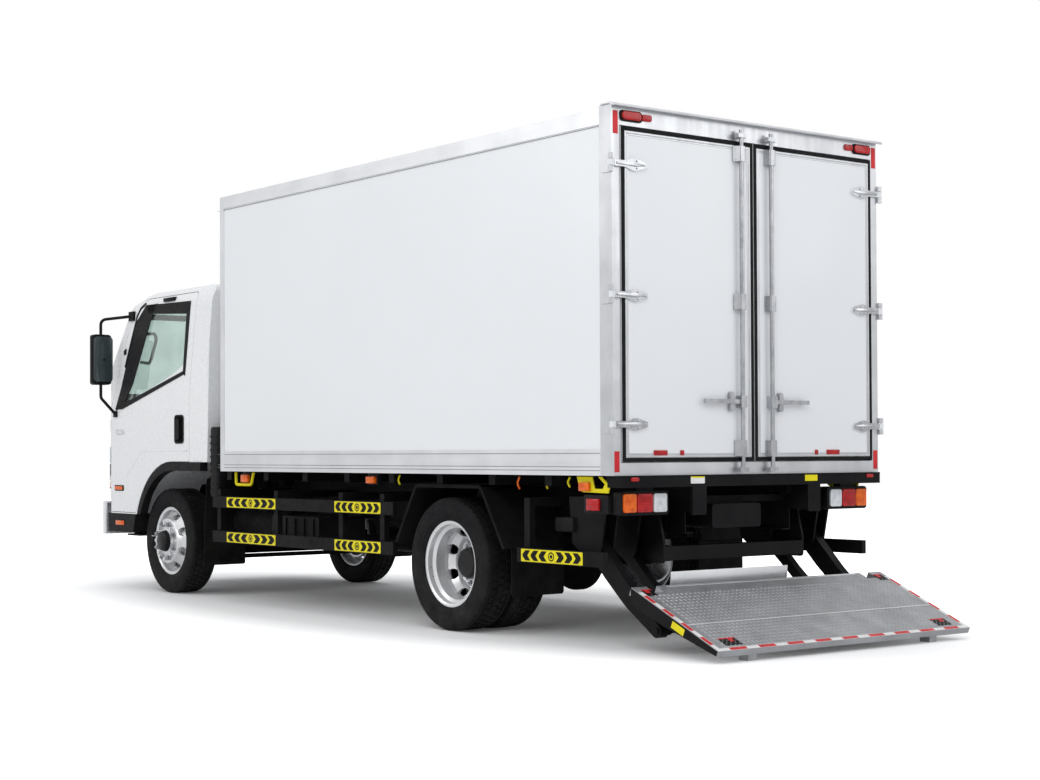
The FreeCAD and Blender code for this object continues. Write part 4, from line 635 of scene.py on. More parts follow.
def bothSides(obj, name, body, slot, finish, *replaced):
    # a left piece and its mirror image, each on the body of its own side
    fit(mirroredCopy(obj, name + "Right"), body.replace("left", "right"), slot, finish, *replaced)
    obj.name = name + "Left"
    fit(obj, body, slot, finish, *replaced)


def onSide(obj, side):
    # a piece made on the left goes over to the right where side is negative
    if side > 0:
        return obj
    twin = mirroredCopy(obj, obj.name)
    bpy.data.objects.remove(obj)
    return twin


# Tyres with grooved tread
tyre = {"radius": 0.4055, "halfWidth": 0.113, "beadRadius": 0.25, "grooveDepth": 0.009, "steps": 216,
        "frontY": 0.84, "rearOuterY": 0.925, "rearInnerY": 0.675}


def tyreProfile():
    outer, half, bead = tyre["radius"], tyre["halfWidth"], tyre["beadRadius"]
    deep = outer - tyre["grooveDepth"]
    side = [(half - 0.016, bead + 0.0155), (half - 0.008, bead + 0.03), (half - 0.0035, bead + 0.045),
            (half - 0.0045, bead + 0.049), (half - 0.0005, bead + 0.066), (half, bead + 0.082),
            (half - 0.001, bead + 0.1),
            (half - 0.003, bead + 0.112), (half - 0.0018, bead + 0.114), (half - 0.0035, bead + 0.124),
            (half - 0.0085, bead + 0.139),
            (half - 0.014, outer - 0.0075), (half - 0.0225, outer - 0.002)]
    half = [(0.0745, outer - 0.0012), (0.0715, outer - 0.0012), (0.0695, deep), (0.0635, deep),
            (0.0615, outer - 0.0004),
            (0.031, outer), (0.0285, deep), (0.0225, deep), (0.02, outer)]
    left = [(-across, radius) for across, radius in side + half]
    right = [(across, radius) for across, radius in reversed(side + half)]
    inside = [(0.0827, bead + 0.0126), (0.0825, bead - 0.0005), (-0.0825, bead - 0.0005),
              (-0.0827, bead + 0.0126)]
    return left + right + inside


def makeTyre():
    obj = spunRing("tyrePattern", tyreProfile(), tyre["steps"], (0, 0, 0))
    # cross cuts: short sipes in the ribs and lugs on the shoulders
    mesh = obj.data
    step = 2 * math.pi / tyre["steps"]
    for poly in mesh.polygons:
        poly.select = False
        middle = poly.center
        turn = (math.atan2(middle.x, middle.z) % (2 * math.pi)) / step
        index = int(turn) % 4
        radius = math.hypot(middle.x, middle.z)
        across = abs(middle.y)
        onTread = radius > tyre["radius"] - 0.0025
        rib = 1 if 0.0315 < across < 0.061 else 0
        shoulder = radius > tyre["radius"] - 0.0075 and across > 0.086
        if (onTread and across < 0.061 and index == 2 * rib) or (shoulder and index == 1):
            poly.select = True
    for part in (mesh.vertices, mesh.edges):
        part.foreach_set("select", [False] * len(part))
    pick(obj)
    chosen = [poly.select for poly in mesh.polygons]
    bpy.ops.object.mode_set(mode="EDIT")
    bpy.ops.mesh.select_all(action="DESELECT")
    bpy.ops.mesh.select_mode(type="FACE")
    bpy.ops.object.mode_set(mode="OBJECT")
    mesh.polygons.foreach_set("select", chosen)
    bpy.ops.object.mode_set(mode="EDIT")
    bpy.ops.mesh.extrude_region_shrink_fatten(TRANSFORM_OT_shrink_fatten={"value": -0.006})
    bpy.ops.mesh.select_all(action="SELECT")
    bpy.ops.mesh.normals_make_consistent(inside=False)
    bpy.ops.object.mode_set(mode="OBJECT")
    return smooth(obj, 30)


def fitTyres():
    pattern = makeTyre()
    for side, label in ((1, "left"), (-1, "right")):
        for axle, x, rows in (("front", frontX, (tyre["frontY"],)),
                              ("rear", rearX, (tyre["rearOuterY"], tyre["rearInnerY"]))):
            body = ("wheel_front_" if axle == "front" else "wheels_rear_") + label + "_body"
            rings = [copied(pattern, "ring", (x, side * y, wheelZ)) for y in rows]
            obj = join("tyre_" + axle + "_" + label + "_tread", rings)
            fit(obj, body, "rubber", "tyreRubber",
                ("tyre_front_" if axle == "front" else "tyres_rear_") + label)
    bpy.data.objects.remove(pattern)


fitTyres()
print("tyres made")

# Reflector boards with chevrons on the side guards
board = {"lift": 0.0014, "arrows": 3, "ring": 0.026, "dot": 0.011}
guard = {"faceY": boxHalfWidth, "low": (0.441, 0.513), "high": (0.693, 0.765), "tail": (0.459, 0.531),
         "spans": ((2.0, 2.69), (0.69, 1.235)), "tailSpan": (-1.3, -0.755)}


def chevronBoard(name, x0, x1, z0, z1, side):
    y = side * (guard["faceY"] + 0.0005)
    back = plate(name + "Plate", roundedOutline("Y", y, x0, x1, z0, z1, 0.006), (0, side * board["lift"], 0),
                 0.0004, 1)
    fit(back, "chassis", "chassis", "reflectYellow")
    faceY = y + side * (board["lift"] + 0.0002)
    push = (0, side * 0.0006, 0)
    middle, centre = (z0 + z1) / 2, (x0 + x1) / 2
    high = (z1 - z0) / 2 - 0.007
    count = board["arrows"]
    pitch = ((x1 - x0) / 2 - 0.05) / count
    marks = []
    for way in (-1, 1):
        for index in range(count):
            tip = centre + way * (0.036 + pitch * (index + 0.98))
            thick, lean = pitch * 0.58, pitch * 0.34
            outline = [(tip - way * lean, middle + high), (tip, middle + high * 0.25),
                       (tip, middle - high * 0.25), (tip - way * lean, middle - high),
                       (tip - way * (lean + thick), middle - high), (tip - way * thick, middle),
                       (tip - way * (lean + thick), middle + high)]
            marks.append(plate("arrow", [(x, faceY, z) for x, z in outline], push, 0))
    ring, dot = board["ring"], board["dot"]
    inner = dot * 1.7
    marks.append(spunRing("ring", [(0, inner), (0.0006, inner), (0.0006, ring), (0, ring)], 24,
                          (centre, min(faceY, faceY + push[1]), middle)))
    turns = [index * math.pi / 12 for index in range(24)]
    marks.append(plate("dot", [(centre + dot * math.cos(turn), faceY,
                                middle + dot * math.sin(turn)) for turn in turns], push, 0))
    fit(join(name + "Chevrons", marks), "chassis", "chassis", "markBlack")


for side, sideName in ((1, "Left"), (-1, "Right")):
    for row in ("low", "high"):
        for number, (x0, x1) in enumerate(guard["spans"]):
            chevronBoard("guardBoard" + row.title() + sideName + str(number), rearX + x0, rearX + x1,
                         *guard[row], side)
    chevronBoard("guardBoardTail" + sideName, rearX + guard["tailSpan"][0], rearX + guard["tailSpan"][1],
                 *guard["tail"], side)
print("reflector boards made")

# Rear doors: seals, lamps and strips in the frame
door = {"faceX": doorFaceX, "frameX": boxRearX, "half": 1.01, "low": 1.022, "high": 2.85, "gap": 0.006}


def tubeLoop(name, points, radius, closed=True):
    # a rubber or wire run through points, as a bevelled curve turned into a mesh
    curve = bpy.data.curves.new(name, "CURVE")
    curve.dimensions = "3D"
    curve.bevel_depth = radius
    curve.bevel_resolution = 3
    spline = curve.splines.new("POLY")
    spline.points.add(len(points) - 1)
    for place, point in zip(spline.points, points):
        place.co = (*point, 1)
    spline.use_cyclic_u = closed
    obj = bpy.data.objects.new(name, curve)
    bpy.context.scene.collection.objects.link(obj)
    pick(obj)
    bpy.ops.object.convert(target="MESH")
    return smooth(bpy.context.object)


def bentRod(name, points, radius, bend, sides=8):
    # a round bar with turned corners
    path = []
    points = [Vector(point) for point in points]
    for index, point in enumerate(points):
        if index in (0, len(points) - 1):
            path.append(point)
            continue
        before = (points[index - 1] - point).normalized()
        after = (points[index + 1] - point).normalized()
        start, end = point + before * bend, point + after * bend
        for step in range(7):
            t = step / 6
            path.append(start * (1 - t) ** 2 + point * 2 * t * (1 - t) + end * t ** 2)
    return tubeLoop(name, path, radius, closed=False)


def frameBars(x0, x1, y0, y1, z0, z1, wide, edge=0.0015):
    # four bars round a door leaf
    return [block("bar", (x0, y0, z0), (x1, y0 + wide, z1), edge, 1),
            block("bar", (x0, y1 - wide, z0), (x1, y1, z1), edge, 1),
            block("bar", (x0, y0 + wide, z0), (x1, y1 - wide, z0 + wide), edge, 1),
            block("bar", (x0, y0 + wide, z1 - wide), (x1, y1 - wide, z1), edge, 1)]


def doorSeal(side):
    # a black gasket round each leaf with a two-step alloy profile inside it
    name = "Left" if side > 0 else "Right"
    body = "cargo_door_" + name.lower() + "_body"
    y0, y1 = 0.004, door["half"] - door["gap"]
    z0, z1 = door["low"] + door["gap"], door["high"] - door["gap"]
    x = door["faceX"]
    pieces = [("cargoSeal", "flap", "doorSeal", frameBars(x - 0.004, x + 0.004, y0, y1, z0, z1, 0.021)),
              ("cargoEdging", "aluminium", "frameAlloy",
               frameBars(x - 0.0045, x + 0.0005, y0 + 0.023, y1 - 0.023, z0 + 0.023, z1 - 0.023, 0.011)
               + frameBars(x - 0.0025, x + 0.0005, y0 + 0.037, y1 - 0.037, z0 + 0.037, z1 - 0.037, 0.009))]
    for label, slot, finish, bars in pieces:
        fit(onSide(join(label + name, bars), side), body, slot, finish)


for side in (1, -1):
    doorSeal(side)

rearLights = {"frameX": boxRearX, "ovalZ": (2.88, 2.927), "ovalY": (0.86, 1.0), "dotY": (0.78, 0.855)}


def headerLamps():
    x = rearLights["frameX"]
    z0, z1 = rearLights["ovalZ"]
    y0, y1 = rearLights["ovalY"]
    base = plate("headerLampBase", roundedOutline("X", x - 0.006, y0 - 0.012, y1 + 0.01, z0 - 0.008,
            z1 + 0.006, 0.02), (0.006, 0, 0), 0.002)
    bothSides(base, "headerLampBase", "chassis", "chassis", "trimPlastic")
    lens = plate("headerLampLens", roundedOutline("X", x - 0.018, y0, y1, z0, z1, 0.02), (0.013, 0, 0), 0.005,
                 3)
    bothSides(lens, "headerLampLens", "chassis", "lamp", "redLens")
    d0, d1 = rearLights["dotY"]
    small = plate("headerDot", roundedOutline("X", x - 0.01, d0, d1 - 0.006, z0 + 0.006, z1 - 0.004, 0.012),
                  (0.01, 0, 0), 0.003, 2)
    bothSides(small, "headerDot", "chassis", "lamp", "redLens")


def cornerStrips():
    # red reflecting tape on the four corners of the frame
    x = rearLights["frameX"]
    for label, z0, z1 in (("Top", 2.8, 2.925), ("Foot", 0.972, 1.085)):
        strip = block("cornerTape" + label, (x - 0.0014, 1.022, z0), (x - 0.0002, 1.058, z1), 0.0003, 1)
        bothSides(strip, "cornerTape" + label, "chassis", "lamp", "reflectRed")
    for side, name, spots in ((1, "Left", ((0.68, 0.78), (0.555, 0.582))),
                              (-1, "Right", ((0.60, 0.71), (0.50, 0.525)))):
        parts = []
        for spot in spots:
            y0, y1 = sorted(side * y for y in spot)
            parts.append(plate("patch", roundedOutline("X", doorFaceX - 0.006, y0, y1, 1.062, 1.09, 0.005),
                               (0.0055, 0, 0), 0.001))
        fit(join("doorReflector" + name, parts), "cargo_door_" + name.lower() + "_body", "lamp", "redLens")


headerLamps()
cornerStrips()
print("rear frame dressed")

# Tail lamps: black housing with amber, red and clear lenses
tail = {"x": boxRearX + 0.025, "y": (0.64, 0.99), "z": (0.735, 0.87),
        "lenses": (("amberLens", 0.885, 0.978), ("redLens", 0.765, 0.879), ("clearLens", 0.66, 0.757))}


def tailLamps(side, sideName):
    x = tail["x"]
    y0, y1 = tail["y"]
    z0, z1 = tail["z"]
    housing = plate("tailHousing", roundedOutline("X", x, y0, y1, z0, z1, 0.02), (0.07, 0, 0), 0.004)
    parts = {"housing": housing}
    for finishName, low, high in tail["lenses"]:
        lens = plate("lens", roundedOutline("X", x - 0.011, low, high, z0 + 0.016, z1 - 0.016, 0.012),
                     (0.02, 0, 0), 0.004, 3)
        ribs = [block("rib", (x - 0.0125, low + 0.01, z0 + 0.03 + index * 0.013),
                      (x - 0.0105, high - 0.01, z0 + 0.034 + index * 0.013), 0.0008, 1)
                for index in range(6)]
        parts[finishName] = join("lens", [lens] + ribs)
    for finishName, obj in parts.items():
        obj = onSide(obj, side)
        obj.name = "tailLamp" + finishName[0].upper() + finishName[1:] + sideName
        if finishName == "housing":
            fit(obj, "chassis", "lamp", "trimPlastic", "tail_lamps")
        else:
            fit(obj, "chassis", "lamp_clear" if finishName == "clearLens" else "lamp", finishName)


for side, sideName in ((1, "Left"), (-1, "Right")):
    tailLamps(side, sideName)
print("tail lamps made")

# Lift platform: chequer plate, taped edges and corner fittings
deck = {"heelX": rearX - 1.63, "heelZ": 0.355, "length": 0.72, "slope": 23.5, "half": 1.0,
        "pitch": 0.032, "lensLong": 0.024, "lensWide": 0.0075, "lensHigh": 0.0022, "tape": 0.03}
slopeAngle = math.radians(deck["slope"])
deckAlong = Vector((-math.cos(slopeAngle), 0, -math.sin(slopeAngle)))
deckAbove = Vector((-math.sin(slopeAngle), 0, math.cos(slopeAngle)))
deckHeel = Vector((deck["heelX"], 0, deck["heelZ"]))


def onDeck(along, across, above=0.0):
    return deckHeel + deckAlong * along + Vector((0, across, 0)) + deckAbove * above


def deckBlock(name, a0, a1, y0, y1, h0, h1, edge=0.001, segments=1):
    outline = [onDeck(a0, y0, h0), onDeck(a1, y0, h0), onDeck(a1, y0, h1), onDeck(a0, y0, h1)]
    return plate(name, outline, (0, y1 - y0, 0), edge, segments)


def chequerLens(turn):
    # one raised tear of the pattern, lying flat at the origin
    clearSelection()
    bpy.ops.mesh.primitive_circle_add(vertices=8, radius=0.5, fill_type="NGON")
    obj = bpy.context.object
    obj.data.transform(Matrix.Diagonal((deck["lensLong"], deck["lensWide"], 1, 1)))
    bpy.ops.object.mode_set(mode="EDIT")
    bpy.ops.mesh.select_all(action="SELECT")
    bpy.ops.mesh.extrude_region_move(TRANSFORM_OT_translate={"value": (0, 0, deck["lensHigh"])})
    bpy.ops.transform.resize(value=(0.62, 0.5, 1))
    bpy.ops.object.mode_set(mode="OBJECT")
    obj.data.transform(Matrix.Rotation(math.radians(turn), 4, "Z"))
    return obj


def chequerPlate():
    pitch = deck["pitch"]
    count = (int((deck["length"] - 0.05) / pitch) - 1, int((2 * deck["half"] - 0.09) / pitch))
    tilt = Matrix((deckAlong, Vector((0, 1, 0)), deckAbove)).transposed().to_4x4()
    if tilt.determinant() < 0:
        tilt = Matrix((-deckAlong, Vector((0, 1, 0)), deckAbove)).transposed().to_4x4()
    for turn, offset, name in ((45, 0, "deckTearsA"), (-45, 1, "deckTearsB")):
        tear = chequerLens(turn)
        across = tear.modifiers.new("across", "ARRAY")
        across.use_relative_offset = False
        across.use_constant_offset = True
        across.constant_offset_displace = (0, pitch, 0)
        across.count = count[1]
        along = tear.modifiers.new("along", "ARRAY")
        along.use_relative_offset = False
        along.use_constant_offset = True
        along.constant_offset_displace = (pitch, 0, 0)
        along.count = count[0]
        pick(tear)
        bpy.ops.object.modifier_apply(modifier="across")
        bpy.ops.object.modifier_apply(modifier="along")
        near = pitch / 2 * offset
        start = onDeck(deck["length"] - 0.035 - near, -deck["half"] + 0.06 + near, 0.0001)
        tear.data.transform(Matrix.Translation(start) @ tilt)
        tear.name = name
        fit(tear, "lift_platform_body", "aluminium", "deckAlloy")


def deckTape():
    # red and white tape along both sides and the tip
    width, lift = deck["tape"], 0.0008
    half, length = deck["half"], deck["length"]
    white = [deckBlock("t", 0.06, length - 0.002,
                       *sorted((side * (half - 0.001), side * (half - width - 0.001))), 0.0002, lift)
             for side in (1, -1)]
    white.append(deckBlock("t", length - width, length - 0.002, -half + width, half - width, 0.0002, lift))
    fit(join("deckTapeWhite", white), "lift_platform_body", "lamp", "reflectWhite")
    red = []
    for side in (1, -1):
        for index in range(4):
            a0 = 0.1 + index * 0.155
            low = min(side * (half - 0.003), side * (half - width + 0.002))
            red.append(deckBlock("t", a0, a0 + 0.085, low, low + width - 0.005, lift, lift + 0.0006))
    for index in range(9):
        y0 = -half + 0.09 + index * 0.212
        red.append(deckBlock("t", length - width + 0.002, length - 0.004, y0, y0 + 0.12, lift, lift + 0.0006))
    fit(join("deckTapeRed", red), "lift_platform_body", "lamp", "reflectRed")


def deckFittings():
    # pockets for the warning flags near the four corners, and the cross seam
    half = deck["half"]
    frames, pits = [], []
    for side in (1, -1):
        for a0, a1, y, wide in ((0.035, 0.1, half - 0.107, 0.07),
                                (deck["length"] - 0.125, deck["length"] - 0.055, half - 0.22, 0.12)):
            y0, y1 = sorted((side * y, side * (y + wide)))
            frames.append(deckBlock("frame", a0, a0 + 0.009, y0, y1, 0.0002, 0.0032))
            frames.append(deckBlock("frame", a0 + 0.012, a0 + 0.04, y0 + 0.03, y0 + 0.06, 0.0023, 0.0036))
            pits.append(deckBlock("pit", a0 + 0.009, a1 + 0.006, y0, y1, 0.0002, 0.0022))
    fit(join("deckPocketFrames", frames), "lift_platform_body", "lamp", "reflectRed")
    fit(join("deckPockets", pits), "lift_platform_body", "flap", "markBlack")
    seam = deckBlock("deckSeam", 0.43, 0.437, -half + 0.035, half - 0.035, 0.0002, 0.0026, 0.0006)
    fit(seam, "lift_platform_body", "aluminium", "railAlloy")


chequerPlate()
deckTape()
deckFittings()
print("platform dressed")

# Cab sides: window surround, grab loop, handle, lamps and clips on the doors
cab = {"slopeZ": 1.44, "slope": 0.0716, "faceY": 1.02}


def cabSide(a, z, out=0.0):
    # the cab's left face, a metres ahead of the front axle
    return (frontX + a, cab["faceY"] - cab["slope"] * max(0.0, z - cab["slopeZ"]) + out, z)


def sidePlate(name, outline, thick=0.003, lift=0.0003, edge=0.001):
    return plate(name, [cabSide(a, z, lift) for a, z in outline], (0, thick, 0), edge, 1)


def sideRound(name, a0, a1, z0, z1, radius, thick, lift=0.0003, edge=0.001):
    outline = [(x, z) for x, _, z in roundedOutline("Y", 0, a0, a1, z0, z1, radius)]
    return sidePlate(name, outline, thick, lift, edge)


def onDoors(obj, name, slot, finish):
    bothSides(obj, name, "door_left_body", slot, finish)


windowFrame = {
    "pillar": ((0.352, 2.262), (0.15, 2.262), (0.224, 2.189), (0.5, 1.636), (0.62, 1.5), (0.79, 1.442),
               (0.715, 1.6), (0.52, 2.13)),
    "top": ((-0.398, 2.246), (-0.352, 2.15), (0.3, 2.19), (0.352, 2.262)),
    "rear": ((-0.398, 2.24), (-0.378, 1.672), (-0.34, 1.7), (-0.342, 2.16)),
    "foot": ((-0.378, 1.69), (0.66, 1.442), (0.79, 1.442), (0.62, 1.5), (0.45, 1.53), (-0.34, 1.712))}


def windowSurround():
    parts = [sidePlate("band", outline, 0.004) for outline in windowFrame.values()]
    onDoors(join("windowSurround", parts), "windowSurround", "black_plastic", "trimPlastic")
    channel = tubeLoop("rainChannel", [cabSide(a, z, 0.002) for a, z in
                                       ((0.66, 1.78), (0.5, 2.18), (0.44, 2.246), (0.36, 2.276))], 0.007,
                       closed=False)
    onDoors(channel, "rainChannel", "black_plastic", "trimPlastic")
    loop = [(frontX + a, 0.925 - (z - 1.9) * 0.07, z) for a,
            z in ((0.46, 2.04), (0.3, 2.035), (0.262, 1.99), (0.33, 1.83), (0.36, 1.8), (0.5, 1.815))]
    onDoors(bentRod("grabLoop", loop, 0.013, 0.022), "grabLoop", "black_plastic", "trimPlastic")


doorHandle = {"a": (-0.385, -0.235), "z": (1.158, 1.378), "grip": ((-0.34, -0.28), (1.19, 1.35))}


def doorHandles():
    a0, a1 = doorHandle["a"]
    z0, z1 = doorHandle["z"]
    rim = sideRound("handleRim", a0, a1, z0, z1, 0.03, 0.004)
    onDoors(rim, "handleRim", "black_plastic", "trimPlastic")
    # painted shade: the recess inside the handle rim is a dull near-black plate
    pit = sideRound("handlePit", a0 + 0.012, a1 - 0.012, z0 + 0.012, z1 - 0.012, 0.022, 0.0012, 0.0038,
                    0.0004)
    onDoors(pit, "handlePit", "black_plastic", "cavityShadeBlack")
    (g0, g1), (h0, h1) = doorHandle["grip"]
    grip = sideRound("handleGrip", g0, g1, h0, h1, 0.014, 0.017, 0.0045, 0.005)
    lock = rod("lock", cabSide(a1 - 0.03, z0 + 0.035, 0.004), cabSide(a1 - 0.03, z0 + 0.035, 0.009), 0.011,
               20)
    onDoors(join("handleGrip", [grip, lock]), "handleGrip", "black_plastic", "trimPlastic")


def doorLamps():
    badge = sideRound("indicatorRim", 0.628, 0.782, 1.24, 1.275, 0.0165, 0.006, edge=0.002)
    onDoors(badge, "indicatorRim", "steel", "chrome")
    lens = sideRound("indicatorLens", 0.646, 0.764, 1.246, 1.269, 0.011, 0.004, 0.006, 0.0015)
    onDoors(lens, "indicatorLens", "lamp_clear", "clearLens")
    foot = sideRound("sideMarkerFoot", 0.64, 0.8, 0.785, 0.83, 0.01, 0.005)
    onDoors(foot, "sideMarkerFoot", "black_plastic", "trimPlastic")
    amber = sideRound("sideMarker", 0.652, 0.788, 0.793, 0.822, 0.008, 0.007, 0.005, 0.0025)
    onDoors(amber, "sideMarker", "lamp", "amberLens")
    clip = block("windowClip", (frontX - 0.12, 0.93, 2.268), (frontX + 0.06, 0.9655, 2.297), 0.004, 2)
    onDoors(clip, "windowClip", "black_plastic", "trimPlastic")
    hook = sidePlate("pillarClip", ((0.655, 1.93), (0.655, 1.885), (0.685, 1.88), (0.69, 1.915)), 0.012,
                     edge=0.003)
    onDoors(hook, "pillarClip", "black_plastic", "trimPlastic")
    # raised crease that runs along the door under the window
    for label, start, end in (("Belt", (-0.43, 1.105), (0.32, 1.105)), ("Foot", (0.32, 1.105), (0.6, 0.9))):
        crease = tubeLoop("doorCrease" + label, [cabSide(*start, 0.0), cabSide(*end, 0.0)], 0.0035,
                          closed=False)
        onDoors(crease, "doorCrease" + label, "white_paint", "cabPaint")


def mirrorGlasses():
    # the head's dark glass faces rearwards
    outline = roundedOutline("X", 3.2065, 1.064, 1.231, 1.664, 2.028, 0.03)
    onDoors(plate("mirrorGlass", outline, (0.009, 0, 0), 0.0015, 2), "mirrorGlass", "glass", "mirrorGlass")
    spot = rod("mirrorScrew", (3.2068, 1.14, 1.84), (3.2045, 1.14, 1.84), 0.009, 20, 0.0006)
    onDoors(spot, "mirrorScrew", "black_plastic", "trimPlastic")


def cabLamps():
    stepLamp = block("stepLamp", (frontX + 0.64, 1.012, 0.51), (frontX + 0.79, 1.0225, 0.546), 0.003)
    bothSides(stepLamp, "stepLamp", "cab", "lamp", "amberLens")
    foot = block("stepLampFoot", (frontX + 0.63, 1.012, 0.5), (frontX + 0.8, 1.0185, 0.556), 0.002)
    bothSides(foot, "stepLampFoot", "cab", "black_plastic", "trimPlastic")
    dome = block("roofMarker", (frontX + 0.27, 0.5, 2.36), (frontX + 0.35, 0.57, 2.402), 0.012, 3)
    bothSides(dome, "roofMarker", "cab", "black_plastic", "trimPlastic")


windowSurround()
doorHandles()
doorLamps()
mirrorGlasses()
cabLamps()
print("cab sides dressed")

# Cab front: lamps, screen surround, wipers, plate and fog lamps
front = {"bumperX": 3.6466, "plate": ((-0.22, 0.22), (0.515, 0.63)), "fogY": (0.6, 0.78), "fogZ": (0.53, 0.6)}


def screenPoint(y, z, out=0.0):
    # the windscreen plane leans back from z 1.5 to 2.24
    x = 3.3445 - (z - 1.8) * 0.642
    return (x + out * 0.84, y, z + out * 0.54)


def cabFront():
    border = []
    for z0, z1, y0, y1 in ((1.545, 1.58, -0.86, 0.86), (2.17, 2.215, -0.86, 0.86)):
        outline = [screenPoint(y0, z0, 0.001), screenPoint(y1, z0, 0.001), screenPoint(y1, z1, 0.001),
                   screenPoint(y0, z1, 0.001)]
        border.append(plate("band", outline, Vector((0.84, 0, 0.54)) * 0.003, 0.0008, 1))
    for side in (1, -1):
        outline = [screenPoint(side * y, z, 0.001) for y,
                   z in ((0.862, 1.545), (0.862, 2.215), (0.82, 2.215), (0.82, 1.545))]
        border.append(plate("band", outline, Vector((0.84, 0, 0.54)) * 0.003, 0.0008, 1))
    fit(join("screenSurround", border), "cab", "black_plastic", "trimPlastic")
    for name, pivot, tip, low, high in (("wiperLeft", 0.5, 0.06, 1.59, 1.93),
                                        ("wiperRight", -0.12, -0.56, 1.59, 1.93)):
        arm = tubeLoop("arm", [screenPoint(pivot, 1.555, 0.02), screenPoint(pivot - 0.03, 1.6, 0.034),
                               screenPoint((pivot + tip) / 2, (low + high) / 2, 0.03)], 0.006, closed=False)
        blade = tubeLoop("blade", [screenPoint(pivot - 0.06, low, 0.012), screenPoint(tip, high, 0.012)],
                         0.007, closed=False)
        knob = rod("knob", screenPoint(pivot, 1.555, -0.004), screenPoint(pivot, 1.555, 0.03), 0.016, 20)
        fit(join(name, [arm, blade, knob]), "cab", "black_plastic", "trimPlastic")
    (p0, p1), (q0, q1) = front["plate"]
    blank = plate("numberPlate", roundedOutline("X", front["bumperX"] + 0.0002, p0, p1, q0, q1, 0.008),
                  (0.0018, 0, 0), 0.0005, 1)
    fit(blank, "chassis", "aluminium", "reflectWhite")
    for side in (1, -1):
        x = front["bumperX"] - 0.005
        y0, y1 = sorted(side * y for y in front["fogY"])
        z0, z1 = front["fogZ"]
        cup = plate("fogCup" + str(side),
                    roundedOutline("X", x - 0.006, y0 - 0.015, y1 + 0.015, z0 - 0.015, z1 + 0.015, 0.014),
                    (0.011, 0, 0), 0.002)
        fit(cup, "chassis", "black_plastic", "trimPlastic")
        lens = plate("fogLens" + str(side), roundedOutline("X", x + 0.001, y0, y1, z0, z1, 0.012),
                     (0.008, 0, 0), 0.003, 3)
        fit(lens, "chassis", "lamp_clear", "clearLens")
    # lamp units stand in front of the cab's front corners: bezel, amber wedge and three round optics
    for side in (1, -1):
        optics, rims = [], []
        for z in (0.86, 0.965, 1.07):
            optics.append(rod("optic", (3.538, side * 0.835, z), (3.548, side * 0.838, z), 0.04, 28, 0.004))
            rims.append(spunRing("rim", [(0, 0.041), (0.006, 0.041), (0.006, 0.046), (0, 0.046)], 32,
                                 (3.5415, side * 0.836, z), "X"))
        fit(join("headOptics" + str(side), optics), "cab", "lamp_clear", "clearLens")
        fit(join("headRims" + str(side), rims), "cab", "steel", "chrome")
        for label, z0, z1, slot, finish in (("turnLamp", 0.8, 0.86, "lamp", "amberLens"),
                                            ("cornerTrim", 0.87, 1.0, "black_plastic", "capBlack"),
                                            ("cornerLens", 1.01, 1.14, "lamp_clear", "clearLens")):
            wedge = [(3.4558, side * 0.951, z0), (3.4558, side * 0.951, z1), (3.383, side * 1.0015, z1),
                     (3.383, side * 1.0015, z0)]
            fit(plate(label + str(side), wedge, (0.003, side * 0.0045, 0), 0.001, 1), "cab", slot, finish)
    visor = tubeLoop("roofSeam", [(2.99, y / 10, 2.2845) for y in range(-8, 9)], 0.004, closed=False)
    fit(visor, "cab", "black_plastic", "doorSeal")


cabFront()
print("cab front dressed")

# Hub caps and nuts
nuts = {"circle": 0.1375, "count": 8, "flats": 0.0185, "length": 0.0275, "studRadius": 0.0095,
        "studLength": 0.036}
hubs = {"front": {"x": frontX, "y": 0.967, "nutY": 0.967,
                  "cap": ((0.0, 0.0), (0.0, 0.083), (0.012, 0.0835), (0.046, 0.074), (0.054, 0.06),
                          (0.056, 0.0))},
        "rear": {"x": rearX, "y": 0.798, "nutY": 0.809,
                 "cap": ((0.0, 0.0), (0.0, 0.104), (0.013, 0.104), (0.092, 0.091), (0.102, 0.079),
                         (0.1035, 0.0))}}


def hexNut(centre, outward):
    nut = rod("nut", centre, centre + outward * nuts["length"], nuts["flats"], sides=6, edge=0.0015)
    washer = rod("washer", centre, centre + outward * 0.005, nuts["flats"] * 1.25, sides=20, edge=0.001)
    stud = rod("stud", centre, centre + outward * nuts["studLength"], nuts["studRadius"], sides=12)
    return [nut, washer, stud]


def dressHubs():
    for axle, hub in hubs.items():
        body = "wheel_front_left_body" if axle == "front" else "wheels_rear_left_body"
        parts = []
        for index in range(nuts["count"]):
            turn = 2 * math.pi * (index + 0.5) / nuts["count"]
            centre = Vector((hub["x"] + nuts["circle"] * math.cos(turn), hub["nutY"],
                             wheelZ + nuts["circle"] * math.sin(turn)))
            parts += hexNut(centre, Vector((0, 1, 0)))
        capObj = spunRing("hubCap", list(hub["cap"]), 48, (hub["x"], hub["y"], wheelZ))
        valve = rod("valve", (hub["x"] + 0.2, hub["y"] - 0.02, wheelZ + 0.03),
                    (hub["x"] + 0.215, hub["y"] + 0.02, wheelZ + 0.032), 0.005, 10)
        for obj, label, slot, finish in ((join("nuts", parts), "wheelNuts", "steel", "brightSteel"),
                                         (capObj, "hubCap", "black_plastic", "capBlack"),
                                         (valve, "tyreValve", "steel", "brightSteel")):
            bothSides(obj, label + axle.title(), body, slot, finish)


dressHubs()
print("hubs dressed")

# Lamps, brackets and small parts under the load box
under = {"lampY": 1.0}


def at(x, y, z):
    # metres ahead of the rear axle
    return (rearX + x, y, z)


